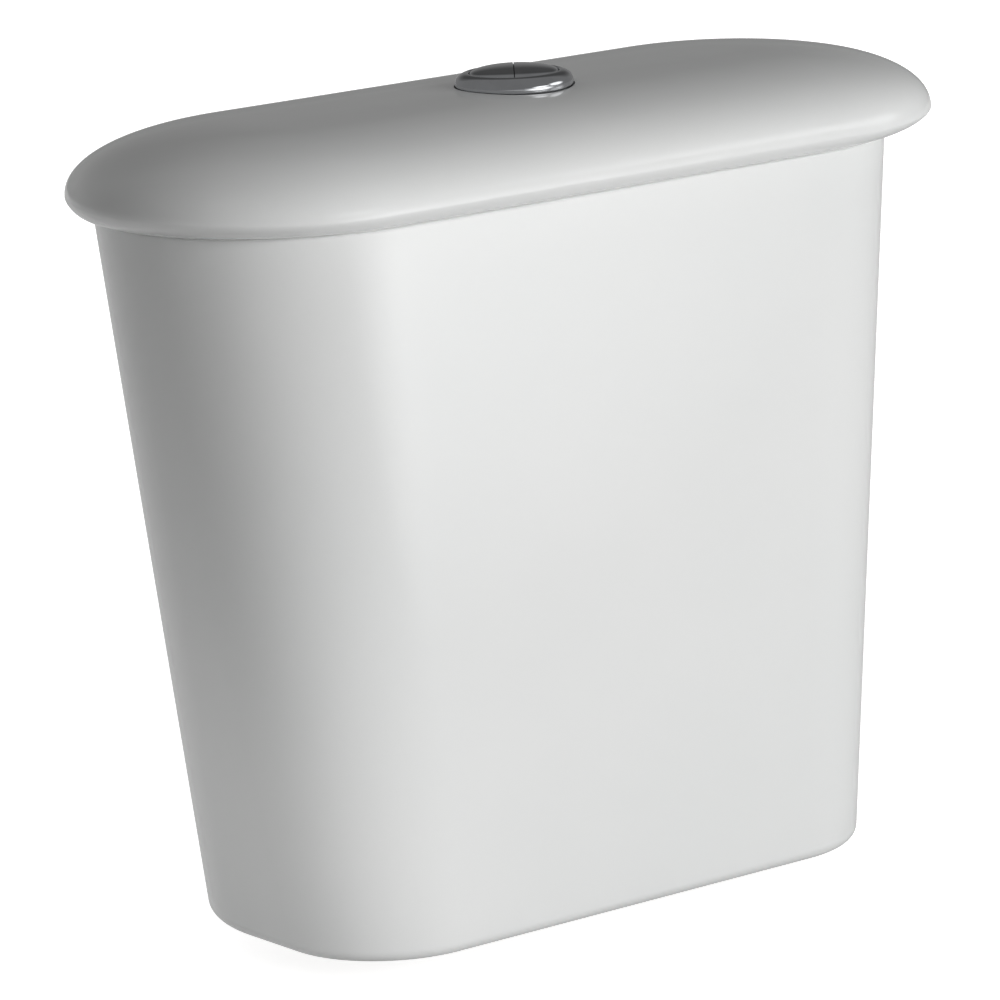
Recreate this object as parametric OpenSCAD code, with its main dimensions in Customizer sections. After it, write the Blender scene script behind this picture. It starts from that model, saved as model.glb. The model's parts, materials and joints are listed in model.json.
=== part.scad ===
// Close-coupled toilet cistern with a domed lid, a dual flush button, a drop valve and a fill valve.
// Millimetres. The origin is on the flush outlet's axis at the plane of the foot.
// +X is to the right seen from the front, +Y is towards the wall and +Z is up.

/* [Ceramic body] */
// Width of the body at its rim
rim_w = 366; // [356:1:376]
// Depth of the body at its rim
rim_d = 162; // [156:1:168]
// Radius of the front corners at the rim
rim_front_r = 77; // [72:1:80]
// Width of the body at its foot
base_w = 283; // [275:1:310]
// Depth of the body at its foot
base_d = 159; // [154:1:164]
// Radius of the front corners at the foot
base_front_r = 49; // [42:1:60]
// Radius of the back corners at the foot
base_back_r = 77; // [68:1:84]
// Height of the body from its foot to its rim
body_h = 297.5; // [290:0.5:312]
// Thickness of the ceramic wall
wall_t = 9; // [7:0.5:10]
// Thickness of the ceramic floor
floor_t = 12; // [9:0.5:14]
// Depth of the hollow under the floor
foot_recess = 12; // [12:0.5:15]
// Width of the ring that the body stands on
foot_ring_w = 9; // [7:0.5:11]
// Rounding of the foot's outer edge
foot_round = 5.5; // [4:0.5:11]
// Rounding of the inside edge above the floor
floor_round = 14; // [8:1:18]
// Rounding of the rim's edge
rim_round = 3; // [1:0.5:4]
// Distance from the outlet axis to the flat back
axis_to_back = 96.5; // [93:0.5:99]
// Radius of the outlet hole in the floor
outlet_hole_r = 33; // [31.5:0.5:35]
// Radius of the inlet hole in the floor
inlet_hole_r = 13; // [12:0.5:15]
// Radius of the two coupling bolt holes
bolt_hole_r = 5.5; // [4.5:0.5:7]
// Distance between the two coupling bolt holes
bolt_spacing = 150; // [140:1:160]

/* [Lid] */
// Width of the lid at its widest line
lid_w = 400; // [394:1:412]
// Depth of the lid at its widest line
lid_d = 172.5; // [170:0.5:180]
// Radius of the lid's front corners
lid_front_r = 78; // [74:1:82]
// Height of the lid's rim from its underside to its widest line
lid_rim_h = 9; // [7:0.5:11]
// Height of the dome above the widest line
lid_crown = 26.4; // [22:0.2:32]
// Thickness of the lid's dome
lid_t = 9; // [7:0.5:11]
// Overhang of the lid's lower edge at the sides of the rim
lip_side = 3.2; // [2:0.2:6]
// Overhang of the lid's lower edge at the front of the rim
lip_front = 1.2; // [0.6:0.2:4]
// Setback of the lid's lower edge from the flat back
lip_back = 1.5; // [0.5:0.5:3]
// Height of the rib that keeps the lid in the opening
rib_h = 8; // [5:0.5:12]
// Thickness of that rib
rib_t = 6; // [4:0.5:8]
// Play between the rib and the opening
rib_gap = 3; // [2:0.5:4]
// Thickness of the pads that the lid rests on
pad_t = 1.5; // [1:0.1:3]
// Height of those pads above the rim, which is the gap under the lid
pad_proud = 0.5; // [0.3:0.1:1]
// Radius of those pads
pad_r = 2.5; // [1.5:0.5:2.5]

/* [Flush button] */
// Outer radius of the bezel
bezel_r = 24.1; // [23.4:0.1:26]
// Height of the bezel's widest line above its foot
bezel_nose_h = 2.6; // [1.6:0.2:3.4]
// Set-back of the bezel's foot under its widest line
bezel_tuck = 0.8; // [0.4:0.1:1]
// Height of the bezel at its inner edge
bezel_h = 7; // [6:0.2:9]
// Radius of the two button halves together
button_r = 18.1; // [17.5:0.1:18.6]
// Rise of the button's dome above its edge
button_dome = 3.2; // [2:0.2:5]
// Distance of the split from the button's axis
split_x = 0; // [-1:0.5:1]
// Turn of the split about the button's axis
split_turn = -37; // [-45:1:0]
// Gap between the two button halves
split_gap = 0.6; // [0.4:0.1:1]
// Play between the button and the bezel
button_play = 0.3; // [0.2:0.05:0.5]
// Travel of each button
press_travel = 5; // [3:0.5:5]
// Outer radius of the button housing
housing_r = 21.8; // [21.4:0.1:22.2]
// Wall of the button housing
housing_wall = 1.8; // [1.2:0.1:2]
// Depth of the button housing below the bezel's foot
housing_depth = 21; // [19:0.5:26]
// Play between the housing and the hole in the lid
lid_hole_play = 0.6; // [0.3:0.1:1]
// Thickness of the seal under the bezel
bezel_seal_t = 0.8; // [0.5:0.1:1.4]
// Thickness of the nut under the lid
button_nut_t = 8; // [6:0.5:9]
// Sideways distance of each push rod from the button's axis
rod_x = 11; // [10.5:0.1:11.5]
// Distance of each push rod from the middle plane
rod_y = 6; // [5.5:0.1:6.5]
// Radius of a push rod
rod_r = 2; // [1.6:0.1:2.2]
// Radius of a plunger stem
stem_r = 3.2; // [3:0.1:3.4]
// Wire diameter of the return springs
spring_wire = 0.8; // [0.6:0.05:0.9]
// Curls in a return spring
spring_curls = 6; // [4:1:7]

/* [Flush valve] */
// Outer radius of the outlet tail
tail_r = 29.8; // [29:0.1:30.2]
// Step from a thread to the smooth neck above it
neck_step = 0.3; // [0.2:0.1:0.5]
// Radius of the waterway through the outlet
waterway_r = 25.5; // [24:0.5:26.5]
// Reach of the outlet tail below the foot
tail_drop = 8; // [6:0.5:9]
// Radius of the valve's flange
flange_r = 43; // [41:0.5:46]
// Thickness of the valve's flange
flange_t = 5; // [4:0.5:6]
// Thickness of the outlet gasket
gasket_t = 4; // [2:0.5:5]
// Height of the seat above the flange
seat_h = 5; // [4:0.5:7]
// Thickness of the outlet seal
seal_t = 3.5; // [2.5:0.5:4]
// Height of the outlet backnut
backnut_h = 10; // [8:0.5:11]
// Outer radius of the basket
basket_r = 35.5; // [35:0.5:37]
// Wall of the basket
basket_wall = 2.5; // [2:0.1:3]
// Height of the basket above the flange
basket_h = 157; // [150:1:162]
// Outer radius of the lift tube
tube_r = 15; // [14:0.5:15.5]
// Radius of the overflow bore in the lift tube
overflow_r = 12.5; // [11:0.5:13]
// Outer radius of the half flush sleeve
sleeve_r = 19.5; // [18.5:0.5:20]
// Height of the half flush sleeve
sleeve_h = 18; // [16:1:22]
// Outer radius of the flush float
flush_float_r = 28; // [24:0.5:30]
// Height of the flush float
flush_float_h = 35; // [25:1:45]
// Radius of the lever pin
pin_r = 2; // [1.6:0.1:2.4]
// Height of the lever pin above the basket
pin_rise = 62; // [60:1:66]
// Distance from the lever pin to the lift lugs
output_arm = 22; // [21.5:0.1:23]
// Height of a lever's bar
lever_h = 6; // [5:0.5:6]
// Width of a lever's bar
lever_w = 6; // [4:0.5:6]

/* [Fill valve] */
// Sideways place of the fill valve
fill_x = -100; // [-106:1:-96]
// Place of the fill valve from front to back
fill_y = 30; // [26:1:34]
// Radius of the inlet's thread
inlet_r = 10.48; // [9.5:0.02:11]
// Radius of the inlet's waterway
inlet_bore_r = 6; // [5:0.5:6.5]
// Reach of the inlet tail below the foot
inlet_drop = 11; // [8:1:14]
// Height of the inlet backnut
inlet_nut_h = 9; // [7:0.5:11]
// Height of the shank's barrel above its flange
shank_h = 49; // [40:1:60]
// Outer radius of the shank's barrel
shank_r = 14; // [13:0.5:16]
// Outer radius of the riser tube
riser_r = 9; // [8:0.5:10]
// Height of the valve head's underside above the floor
head_rise = 202; // [194:1:206]
// Height of the valve head
head_h = 32; // [28:1:36]
// Radius of the valve head
head_r = 20; // [18.5:0.5:20.5]
// Outer radius of the fill float
fill_float_r = 36; // [35:0.5:37]
// Height of the fill float
fill_float_h = 62; // [50:1:70]
// Rise of the fill float
float_travel = 8.6; // [5:0.1:10]
// Distance from the valve's axis to the float rod
float_rod_x = 31; // [30.5:0.1:31.5]
// Distance from the valve's axis to the float lever's pin
float_pin_x = 6; // [5.5:0.1:6.5]
// Radius of the float lever's pin
float_pin_r = 1.5; // [1.2:0.1:1.8]

/* [Fits] */
// Radial play of a piece that turns on a pin
pin_play = 0.06; // [0.02:0.01:0.1]
// Radial play of pieces that stay together
push_play = 0.05; // [0.02:0.01:0.1]
// Radial play of moulded pieces that slide
slide_play = 0.4; // [0.3:0.05:0.6]
// Radial play between a thread and its nut
thread_play = 0.2; // [0.1:0.05:0.3]

/* [Hidden] */
$fn = 72;

// A cut runs past the face that it opens by this much
over = 1;
// Arc steps in each corner of a plan
arc_n = 14;
// Straight stretch between the two corners of a rounded end
side_flat = 1;
// Inset of the middle of the rim's flat top, where the pads sit
pad_inset = (rim_round + wall_t) / 2;
// Steps in a rounded edge
round_n = 5;
// Steps from the lid's widest line to its ridge
dome_n = 9;
// Power of the dome's profile, where 2 is an ellipse
dome_power = 2.12;

// Plans are [half width, front y, back y, front corner radius, back corner radius]
back_y = axis_to_back;
rim_plan = [rim_w / 2, back_y - rim_d, back_y, rim_front_r, rim_d - rim_front_r - side_flat];
base_plan = [base_w / 2, back_y - base_d, back_y, base_front_r, base_back_r];
lid_plan = [lid_w / 2, back_y - lid_d, back_y, lid_front_r, lid_d - lid_front_r - side_flat];
lip_d = rim_d + lip_front - lip_back;
lip_front_r = rim_front_r + lip_front;
lip_plan = [
    rim_w / 2 + lip_side, back_y - rim_d - lip_front, back_y - lip_back,
    lip_front_r, lip_d - lip_front_r - side_flat
];
floor_z = foot_recess + floor_t;
inner_r = min(floor_round, floor_t + wall_t);

// Heights of the lid and its button
lid_z = body_h + pad_proud;
widest_z = lid_z + lid_rim_h;
crown_z = widest_z + lid_crown;
dome_inset = lid_front_r - 2;
// Inset of the lid's plan over which the hollow's roof starts
roof_inset = 26;
rib_inset = wall_t + rib_gap;
hollow_plan = inset(rim_plan, rib_inset + rib_t);
hollow_inset = min(hollow_plan[3], hollow_plan[4]) - 2;
// Depth of the flat seat for the button below the dome's ridge
spot_depth = 2.4;
spot_z = crown_z - spot_depth;
spot_r = bezel_r + 0.5;
bezel_z = spot_z + bezel_seal_t;
nut_seat_z = crown_z - lid_t;
nut_r = 30;
lid_hole_r = housing_r + lid_hole_play;
bezel_bore_r = button_r + button_play;
// Reach of the housing's rim into the bezel
housing_rim_h = 4;
housing_floor_t = 2;
housing_floor_z = bezel_z - housing_depth + housing_floor_t;
cap_edge_z = bezel_z + bezel_h - 0.6;
cap_roof_z = bezel_z + 4;
cap_skirt = 2;
cap_skirt_z = cap_roof_z - 2;
// Flange of a plunger that the spring pushes up, just under the cap's skirt
spring_seat_r = 4.8;
spring_seat_t = 2;
spring_seat_z = cap_skirt_z - spring_seat_t - 1;
stem_end_z = bezel_z - housing_depth - 6 - press_travel;
rod_grip = 14;
lock_nut_t = 4;
lock_nut_r = 4.4;
spring_r = stem_r + 0.6 + spring_wire / 2;
spring_z = housing_floor_z;
spring_len = spring_seat_z - spring_z;

// Heights of the flush valve
thread_end_z = foot_recess - backnut_h - 0.5;
gasket_z = floor_z;
// The gasket stops this far inside the flange, clear of the rounding above the floor
gasket_set_in = 4;
flange_z = gasket_z + gasket_t;
basket_z = flange_z + flange_t;
seat_z = basket_z + seat_h;
seal_top_z = seat_z + seal_t;
tube_flange_t = 3;
tube_flange_r = waterway_r + 5;
basket_top_z = basket_z + basket_h;
basket_top_t = 4;
sleeve_top_z = basket_top_z + sleeve_h;
shoulder_t = 6;
tube_top_z = sleeve_top_z + shoulder_t + 2;
pin_z = basket_top_z + pin_rise;
bar_top_z = pin_z + lever_h / 2;
hub_r = pin_r + 3;
post_in = 22;
post_t = 4;
post_w = 14;
lug_r = 2;
// Gap under a lift lug and under a push rod's tip, which the lever takes up
lug_gap = 0.2;
tip_gap = 0.5;
lug_z = bar_top_z + lug_gap + lug_r;
bar_tip = 3;
yoke_x = output_arm + bar_tip + 4.5;
yoke_t = 3.5;
yoke_w = 5;
// Height of the yoke's hook above the lug's axis
hook_rise = 1;
hook_t = 4;
bayonet_h = 11;
bayonet_t = 3;
lug_count = 3;

// Heights of the fill valve
inlet_thread_end_z = foot_recess - inlet_nut_h - 0.5;
inlet_gasket_t = 3;
// Corner reach of the hexagon past the thread, and of its washer past the hexagon
inlet_nut_wall = 9;
washer_lip = 0.6;
shank_flange_z = floor_z + inlet_gasket_t;
shank_flange_t = 4;
shank_flange_r = 20;
shank_top_z = shank_flange_z + shank_flange_t + shank_h;
riser_lift = 9;
riser_z = shank_flange_z + shank_flange_t + riser_lift;
riser_nut_h = 12;
riser_nut_grip = 10;
head_z = floor_z + head_rise;
riser_in_head = 12;
riser_top_z = head_z + riser_in_head;
head_top_z = head_z + head_h;
diaphragm_t = 2;
cap_wall = 2.3;
cap_t = 10;
cap_top_z = head_top_z + diaphragm_t + cap_t;
cap_grip = 10;
float_pin_rise = 12;
float_pin_z = cap_top_z + float_pin_rise;
float_arm = float_rod_x - float_pin_x;
// The float lever hangs by half its turn below level at rest
float_rest = asin(float_travel / 2 / float_arm);
float_end_z = float_pin_z - float_arm * sin(float_rest);
float_lever_t = 3;
float_lever_w = 9;
ear_t = 3;
ear_play = 0.5;
// Room between the valve head and the float at the top of its travel
float_room = 14;
float_z = head_z - float_room - float_travel - fill_float_h;
float_rod_r = 1.6;
clip_h = 6;
clip_len = 8;
clip_w = 8;
// Overhang of the float lever past the float rod
float_lever_tip = 6;
// Length of the float lever behind its pin, which balances its arm
float_lever_tail = 22;

ceramic = "white";
chrome = "silver";
moulded = "gainsboro";
tinted = "steelblue";
rubber = "dimgray";
steel = "lightsteelblue";
brass = "goldenrod";

// Value between a and b
function mix(a, b, t) = a + (b - a) * t;
function mix_plan(p, q, t) = [for (i = [0 : len(p) - 1]) mix(p[i], q[i], t)];
function inset(p, d) = [p[0] - d, p[1] + d, p[2] - d, p[3] - d, p[4] - d];
function body_plan(z) = mix_plan(base_plan, rim_plan, z / body_h);
function dome_rise(s) = pow(1 - pow(1 - s, dome_power), 1 / dome_power);

// A quarter circle of plan points
function corner(x, y, r, start) =
    [for (i = [0 : arc_n]) let (a = start + 90 * i / arc_n) [x + r * cos(a), y + r * sin(a)]];
function outline(p) = concat(
    corner(p[0] - p[3], p[1] + p[3], p[3], -90),
    corner(p[0] - p[4], p[2] - p[4], p[4], 0),
    corner(p[4] - p[0], p[2] - p[4], p[4], 90),
    corner(p[3] - p[0], p[1] + p[3], p[3], 180)
);
function ring(p, z) = [for (q = outline(p)) [q[0], q[1], z]];

// A skin over rings that have the same number of points
module loft(rings) {
    n = len(rings[0]);
    last = len(rings) - 1;
    sides = [
        for (j = [0 : last - 1], i = [0 : n - 1])
        let (a = j * n + i, b = j * n + (i + 1) % n)
        each [[a, a + n, b + n], [a, b + n, b]]
    ];
    foot = [for (i = [0 : n - 1]) i];
    head = [for (i = [0 : n - 1]) last * n + n - 1 - i];
    polyhedron([for (r = rings) each r], concat([foot], sides, [head]));
}

// A tube or disc turned about the Z axis
module pipe(r, bore, z, h) {
    translate([0, 0, z])
    difference() {
        cylinder(r = r, h = h);
        translate([0, 0, -over]) cylinder(r = bore, h = h + 2 * over);
    }
}

module bar(x, y, z) {
    translate([x[0], y[0], z[0]]) cube([x[1] - x[0], y[1] - y[0], z[1] - z[0]]);
}

// A round-headed opening that runs along X
module arch(w, h, depth) {
    head = [for (i = [0 : 2 * round_n]) let (a = 90 * i / round_n) [h + w / 2 * sin(a), w / 2 * cos(a)]];
    rotate([0, 90, 0]) mirror([1, 0, 0])
    linear_extrude(depth) polygon(concat([[0, w / 2]], head, [[0, -w / 2]]));
}

module at_fill() {
    translate([fill_x, fill_y, 0]) children();
}

// The full flush side as drawn, and the half flush side turned half a turn about Z
module full_side() {
    children();
}

module half_side() {
    rotate([0, 0, 180]) children();
}

// The bottoms of the four pads: two at the front of the rim and one at each side
module at_pads() {
    pad_z = body_h + pad_proud - pad_t;
    for (side = [-1, 1]) {
        translate([side * rim_w / 4, back_y - rim_d + pad_inset, pad_z]) children();
        translate([side * (rim_w / 2 - pad_inset), back_y - rim_plan[4], pad_z]) children();
    }
}

// Ceramic tank: a tapered D shaped shell with a rounded foot and a hollow underside
module cistern_body() {
    steps = [for (i = [0 : round_n]) 90 * i / round_n];
    outside = concat(
        [for (t = steps) let (z = foot_round * (1 - cos(t)))
            ring(inset(body_plan(z), foot_round * (1 - sin(t))), z)],
        [for (t = steps) let (z = body_h - rim_round * (1 - sin(t)))
            ring(inset(body_plan(z), rim_round * (1 - cos(t))), z)]
    );
    inside = concat(
        [for (t = steps) let (z = floor_z + inner_r * (1 - cos(t)))
            ring(inset(body_plan(z), wall_t + inner_r * (1 - sin(t))), z)],
        [ring(inset(body_plan(body_h + over), wall_t), body_h + over)]
    );
    under = inset(base_plan, foot_round + foot_ring_w);
    color(ceramic)
    difference() {
        loft(outside);
        loft(inside);
        loft([ring(under, -over), ring(under, foot_recess)]);
        translate([0, 0, foot_recess - over]) cylinder(r = outlet_hole_r, h = floor_t + 2 * over);
        at_fill() translate([0, 0, foot_recess - over])
            cylinder(r = inlet_hole_r, h = floor_t + 2 * over);
        for (side = [-1, 1])
            translate([side * bolt_spacing / 2, 0, foot_recess - over])
            cylinder(r = bolt_hole_r, h = floor_t + 2 * over);
        at_pads() cylinder(r = pad_r + push_play, h = pad_t + over);
    }
}

// Ceramic lid: a bullnosed rim under a dome, hollow below, with a rib that drops into the opening
module cistern_lid() {
    rib = inset(rim_plan, rib_inset);
    bullnose = [for (i = [0 : round_n]) let (t = 90 * i / round_n)
        ring(mix_plan(lip_plan, lid_plan, sin(t)), lid_z + lid_rim_h * (1 - cos(t)))];
    dome = [for (i = [1 : dome_n]) let (s = 1 - cos(90 * i / dome_n))
        ring(inset(lid_plan, dome_inset * s), widest_z + lid_crown * dome_rise(s))];
    roof = [for (i = [0 : dome_n]) let (s = i / dome_n, d = mix(roof_inset, dome_inset, s) / dome_inset)
        ring(inset(hollow_plan, hollow_inset * s), widest_z + lid_crown * dome_rise(d) - lid_t)];
    color(ceramic)
    difference() {
        loft(concat([ring(rib, lid_z - rib_h), ring(rib, lid_z)], bullnose, dome));
        loft(concat([ring(hollow_plan, lid_z - rib_h - over)], roof));
        translate([0, 0, lid_z]) cylinder(r = lid_hole_r, h = crown_z - lid_z + over);
        translate([0, 0, spot_z]) cylinder(r = spot_r, h = spot_depth + over);
        translate([0, 0, lid_z]) cylinder(r = nut_r + 3, h = nut_seat_z - lid_z);
    }
}

// Four soft pads set into pockets in the rim
module lid_pads() {
    color(rubber)
    at_pads() cylinder(r = pad_r, h = pad_t);
}

// Plated ring that trims the hole in the lid
module button_bezel() {
    pocket_r = housing_r + push_play;
    slope = [for (i = [0 : round_n]) let (t = 90 * i / round_n)
        [mix(bezel_bore_r + 0.5, bezel_r, sin(t)), bezel_nose_h + (bezel_h - bezel_nose_h) * cos(t)]];
    under = [for (i = [1 : round_n]) let (t = 90 * i / round_n)
        [bezel_r - bezel_tuck * (1 - cos(t)), bezel_nose_h * (1 - sin(t))]];
    color(chrome)
    translate([0, 0, bezel_z])
    rotate_extrude()
    polygon(concat(
        [[pocket_r, 0], [pocket_r, housing_rim_h], [bezel_bore_r, housing_rim_h]],
        [[bezel_bore_r, bezel_h - 0.5]],
        slope,
        under
    ));
}

module bezel_seal() {
    color(rubber) pipe(bezel_r - bezel_tuck, lid_hole_r, spot_z, bezel_seal_t);
}

// Cup through the lid, with a guide hole for each plunger
module button_housing() {
    bottom_z = housing_floor_z - housing_floor_t;
    color(moulded)
    difference() {
        translate([0, 0, bottom_z]) cylinder(r = housing_r, h = bezel_z + housing_rim_h - bottom_z);
        translate([0, 0, housing_floor_z]) cylinder(r = housing_r - housing_wall, h = housing_depth * 2);
        for (turn = [0, 180])
            rotate([0, 0, turn]) translate([rod_x, rod_y, bottom_z - over])
            cylinder(r = stem_r + slide_play, h = housing_floor_t + 2 * over);
        for (turn = [45 : 90 : 315])
            rotate([0, 0, turn]) translate([0, 0, bottom_z - over])
            bar([housing_r - 6, housing_r + over], [-2, 2], [0, 5]);
    }
}

// Winged nut that clamps the housing under the lid
module button_nut() {
    nut_z = nut_seat_z - button_nut_t;
    wing_n = 6;
    color(moulded)
    difference() {
        union() {
            translate([0, 0, nut_seat_z - 3]) cylinder(r = nut_r, h = 3);
            translate([0, 0, nut_z]) cylinder(r = nut_r - 4, h = button_nut_t);
            for (i = [1 : wing_n])
                rotate([0, 0, 360 * i / wing_n])
                bar([0, nut_r - 1.5], [-2, 2], [nut_z + 1, nut_seat_z - 1]);
        }
        translate([0, 0, nut_z - over]) cylinder(r = housing_r + thread_play, h = button_nut_t + 2 * over);
    }
}

// Domed cap that both button halves are cut from
module button_cap() {
    edge = cap_edge_z - cap_skirt_z;
    roof = cap_roof_z - cap_skirt_z;
    dome = [for (i = [0 : round_n * 2]) let (t = 90 * i / (round_n * 2))
        [button_r * cos(t), edge + button_dome * sin(t)]];
    translate([0, 0, cap_skirt_z])
    rotate_extrude()
    polygon(concat(
        [[0, roof], [button_r - cap_skirt, roof], [button_r - cap_skirt, 0], [button_r, 0]],
        [for (p = dome) if (p[0] > 0.01) p],
        [[0, edge + button_dome]]
    ));
}

module full_button() {
    color(chrome)
    intersection() {
        button_cap();
        rotate([0, 0, split_turn])
            bar([split_x + split_gap / 2, bezel_r], [-bezel_r, bezel_r], [cap_skirt_z - over, cap_edge_z * 2]);
    }
}

module half_button() {
    color(chrome)
    intersection() {
        button_cap();
        rotate([0, 0, split_turn])
            bar([-bezel_r, split_x - split_gap / 2], [-bezel_r, bezel_r], [cap_skirt_z - over, cap_edge_z * 2]);
    }
}

// Stem under a button half: a flange for the spring, a long guide and a socket for the rod
module plunger() {
    color(moulded)
    translate([rod_x, rod_y, 0])
    difference() {
        union() {
            translate([0, 0, spring_seat_z]) cylinder(r = spring_seat_r, h = spring_seat_t);
            translate([0, 0, stem_end_z]) cylinder(r = stem_r, h = cap_roof_z - stem_end_z);
        }
        translate([0, 0, stem_end_z - over]) cylinder(r = rod_r + push_play, h = rod_grip + over);
    }
}

module full_plunger() {
    full_side() plunger();
}

module half_plunger() {
    half_side() plunger();
}

// Return spring as one tube: straight ends of one wire diameter, with a helix between them
spring_rings = 8;
spring_sides = 6;
spring_last = spring_curls * spring_rings;
spring_lead = spring_wire;
spring_rise = spring_len - 2 * spring_lead - 0.2;
function spring_at(i) = let (a = 360 * i / spring_rings) [
    spring_r * cos(a), spring_r * sin(a),
    spring_z + 0.1 + spring_lead + spring_rise * i / spring_last
];
// The first and last rings lie flat, and the rings between them stand across the wire
function spring_slice(p, a, flat) = [for (k = [0 : spring_sides - 1])
    let (b = 360 * k / spring_sides, u = spring_wire / 2 * cos(b), v = spring_wire / 2 * sin(b))
    flat
        ? p + u * [cos(a), sin(a), 0] + v * [-sin(a), cos(a), 0]
        : p + u * [cos(a), sin(a), 0] - v * [0, 0, 1]
];
function spring_gap() = min([for (i = [0 : spring_last], j = [i + spring_rings - 1 : spring_last])
    norm(spring_at(i) - spring_at(j)) - spring_wire]);
echo(spring_least_gap = spring_gap());

module return_spring() {
    low = spring_at(0);
    high = spring_at(spring_last);
    end_a = 360 * spring_curls;
    rings = concat(
        [spring_slice(low - [0, 0, spring_lead], 0, true), spring_slice(low, 0, true)],
        [for (i = [1 : spring_last - 1]) spring_slice(spring_at(i), 360 * i / spring_rings, false)],
        [spring_slice(high, end_a, true), spring_slice(high + [0, 0, spring_lead], end_a, true)]
    );
    color(steel) translate([rod_x, rod_y, 0]) loft(rings);
}

module full_spring() {
    full_side() return_spring();
}

module half_spring() {
    half_side() return_spring();
}

// Threaded rod with a round tip that rests over the lever
module push_rod() {
    tip_z = bar_top_z + tip_gap + rod_r;
    color(moulded)
    translate([rod_x, rod_y, 0]) {
        translate([0, 0, tip_z]) cylinder(r = rod_r, h = stem_end_z + rod_grip - tip_z);
        translate([0, 0, tip_z]) sphere(r = rod_r);
    }
}

module full_push_rod() {
    full_side() push_rod();
}

module half_push_rod() {
    half_side() push_rod();
}

module lock_nut() {
    color(moulded)
    translate([rod_x, rod_y, stem_end_z - lock_nut_t])
    difference() {
        cylinder(r = lock_nut_r, h = lock_nut_t, $fn = 6);
        translate([0, 0, -over]) cylinder(r = rod_r + push_play, h = lock_nut_t + 2 * over);
    }
}

module full_lock_nut() {
    full_side() lock_nut();
}

module half_lock_nut() {
    half_side() lock_nut();
}

module outlet_gasket() {
    color(rubber) pipe(flange_r - gasket_set_in, tail_r + thread_play, gasket_z, gasket_t);
}

// Flange, seat and threaded tail, with hooks that hold the basket
module valve_base() {
    hook_r = basket_r + slide_play;
    color(moulded)
    difference() {
        union() {
            translate([0, 0, -tail_drop]) cylinder(r = tail_r, h = tail_drop + thread_end_z);
            translate([0, 0, -tail_drop]) cylinder(r = tail_r - neck_step, h = flange_z + tail_drop);
            translate([0, 0, flange_z]) cylinder(r = flange_r, h = flange_t);
            translate([0, 0, basket_z]) cylinder(r = waterway_r + 5, h = seat_h);
            difference() {
                pipe(hook_r + bayonet_t, hook_r, basket_z, bayonet_h);
                for (i = [1 : lug_count])
                    rotate([0, 0, 360 * i / lug_count])
                    bar([0, flange_r], [-7, 7], [basket_z, basket_z + bayonet_h + over]);
            }
        }
        translate([0, 0, -tail_drop - over]) cylinder(r = waterway_r, h = seat_z + tail_drop + 2 * over);
    }
}

// Wing nut that pulls the flange down on its gasket
module outlet_backnut() {
    wing_n = 8;
    ring_r = tail_r + 8;
    color(moulded)
    difference() {
        union() {
            translate([0, 0, foot_recess - backnut_h]) cylinder(r = ring_r, h = backnut_h);
            translate([0, 0, foot_recess - 3]) cylinder(r = flange_r, h = 3);
            for (i = [1 : wing_n])
                rotate([0, 0, 360 * i / wing_n])
                bar([0, flange_r - 2], [-2.5, 2.5], [foot_recess - backnut_h + 1, foot_recess - 1]);
        }
        translate([0, 0, foot_recess - backnut_h - over])
            cylinder(r = tail_r + thread_play, h = backnut_h + 2 * over);
    }
}

// Cage of the drop valve: arched ports round the seat, slots above them and a guide plate on top
module valve_basket() {
    port_n = 6;
    port_w = 22;
    port_h = 26;
    port_z = basket_z + 9;
    slot_w = 9;
    slot_z = port_z + port_h + 32;
    slot_h = basket_top_z - slot_z - 24;
    rib_r = basket_r + 1.2;
    color(moulded)
    difference() {
        union() {
            translate([0, 0, basket_z]) cylinder(r = basket_r, h = basket_h);
            for (i = [1 : lug_count])
                rotate([0, 0, 360 * i / lug_count])
                bar([basket_r - 1, basket_r + bayonet_t], [-6, 6], [basket_z, basket_z + 5]);
            for (z = [slot_z - 12, basket_top_z - 14])
                translate([0, 0, z]) cylinder(r = rib_r, h = 4);
        }
        translate([0, 0, basket_z - over])
            cylinder(r = basket_r - basket_wall, h = basket_h - basket_top_t + over);
        translate([0, 0, basket_z]) cylinder(r = tube_r + slide_play, h = basket_h + over);
        for (i = [1 : port_n])
            rotate([0, 0, 360 * (i + 0.5) / port_n]) {
                translate([basket_r / 2, 0, port_z]) arch(port_w, port_h, basket_r);
                translate([basket_r / 2, 0, slot_z]) arch(slot_w, slot_h, basket_r);
            }
    }
}

// Yoke that a lever lifts: an arm, a post past the lever's tip and a hook with a round lug
module lift_yoke(arm_z) {
    lug_y = [rod_y - yoke_w / 2, rod_y + yoke_w / 2];
    hook_z = lug_z + hook_rise;
    bar([-yoke_x - yoke_t, -tube_r - slide_play - 1], lug_y, [arm_z - shoulder_t, arm_z]);
    bar([-yoke_x - yoke_t, -yoke_x], lug_y, [arm_z - shoulder_t, hook_z + hook_t]);
    bar([-yoke_x - yoke_t, lug_r - output_arm], lug_y, [hook_z, hook_z + hook_t]);
    bar([-output_arm - lug_r, lug_r - output_arm], lug_y, [lug_z, hook_z + hook_t]);
    translate([-output_arm, lug_y[0], lug_z]) rotate([-90, 0, 0]) cylinder(r = lug_r, h = yoke_w);
}

// Overflow tube that carries the seal, with a shoulder over the sleeve and its own yoke
module lift_tube() {
    arm_z = sleeve_top_z + shoulder_t;
    color(tinted)
    difference() {
        union() {
            translate([0, 0, seat_z - 1]) cylinder(r = tube_r, h = tube_top_z - seat_z + 1);
            translate([0, 0, seal_top_z]) cylinder(r = tube_flange_r, h = tube_flange_t);
            translate([0, 0, sleeve_top_z]) cylinder(r = sleeve_r, h = shoulder_t);
            lift_yoke(arm_z);
        }
        translate([0, 0, seat_z - 2]) cylinder(r = overflow_r, h = tube_top_z - seat_z + 4);
    }
}

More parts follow.
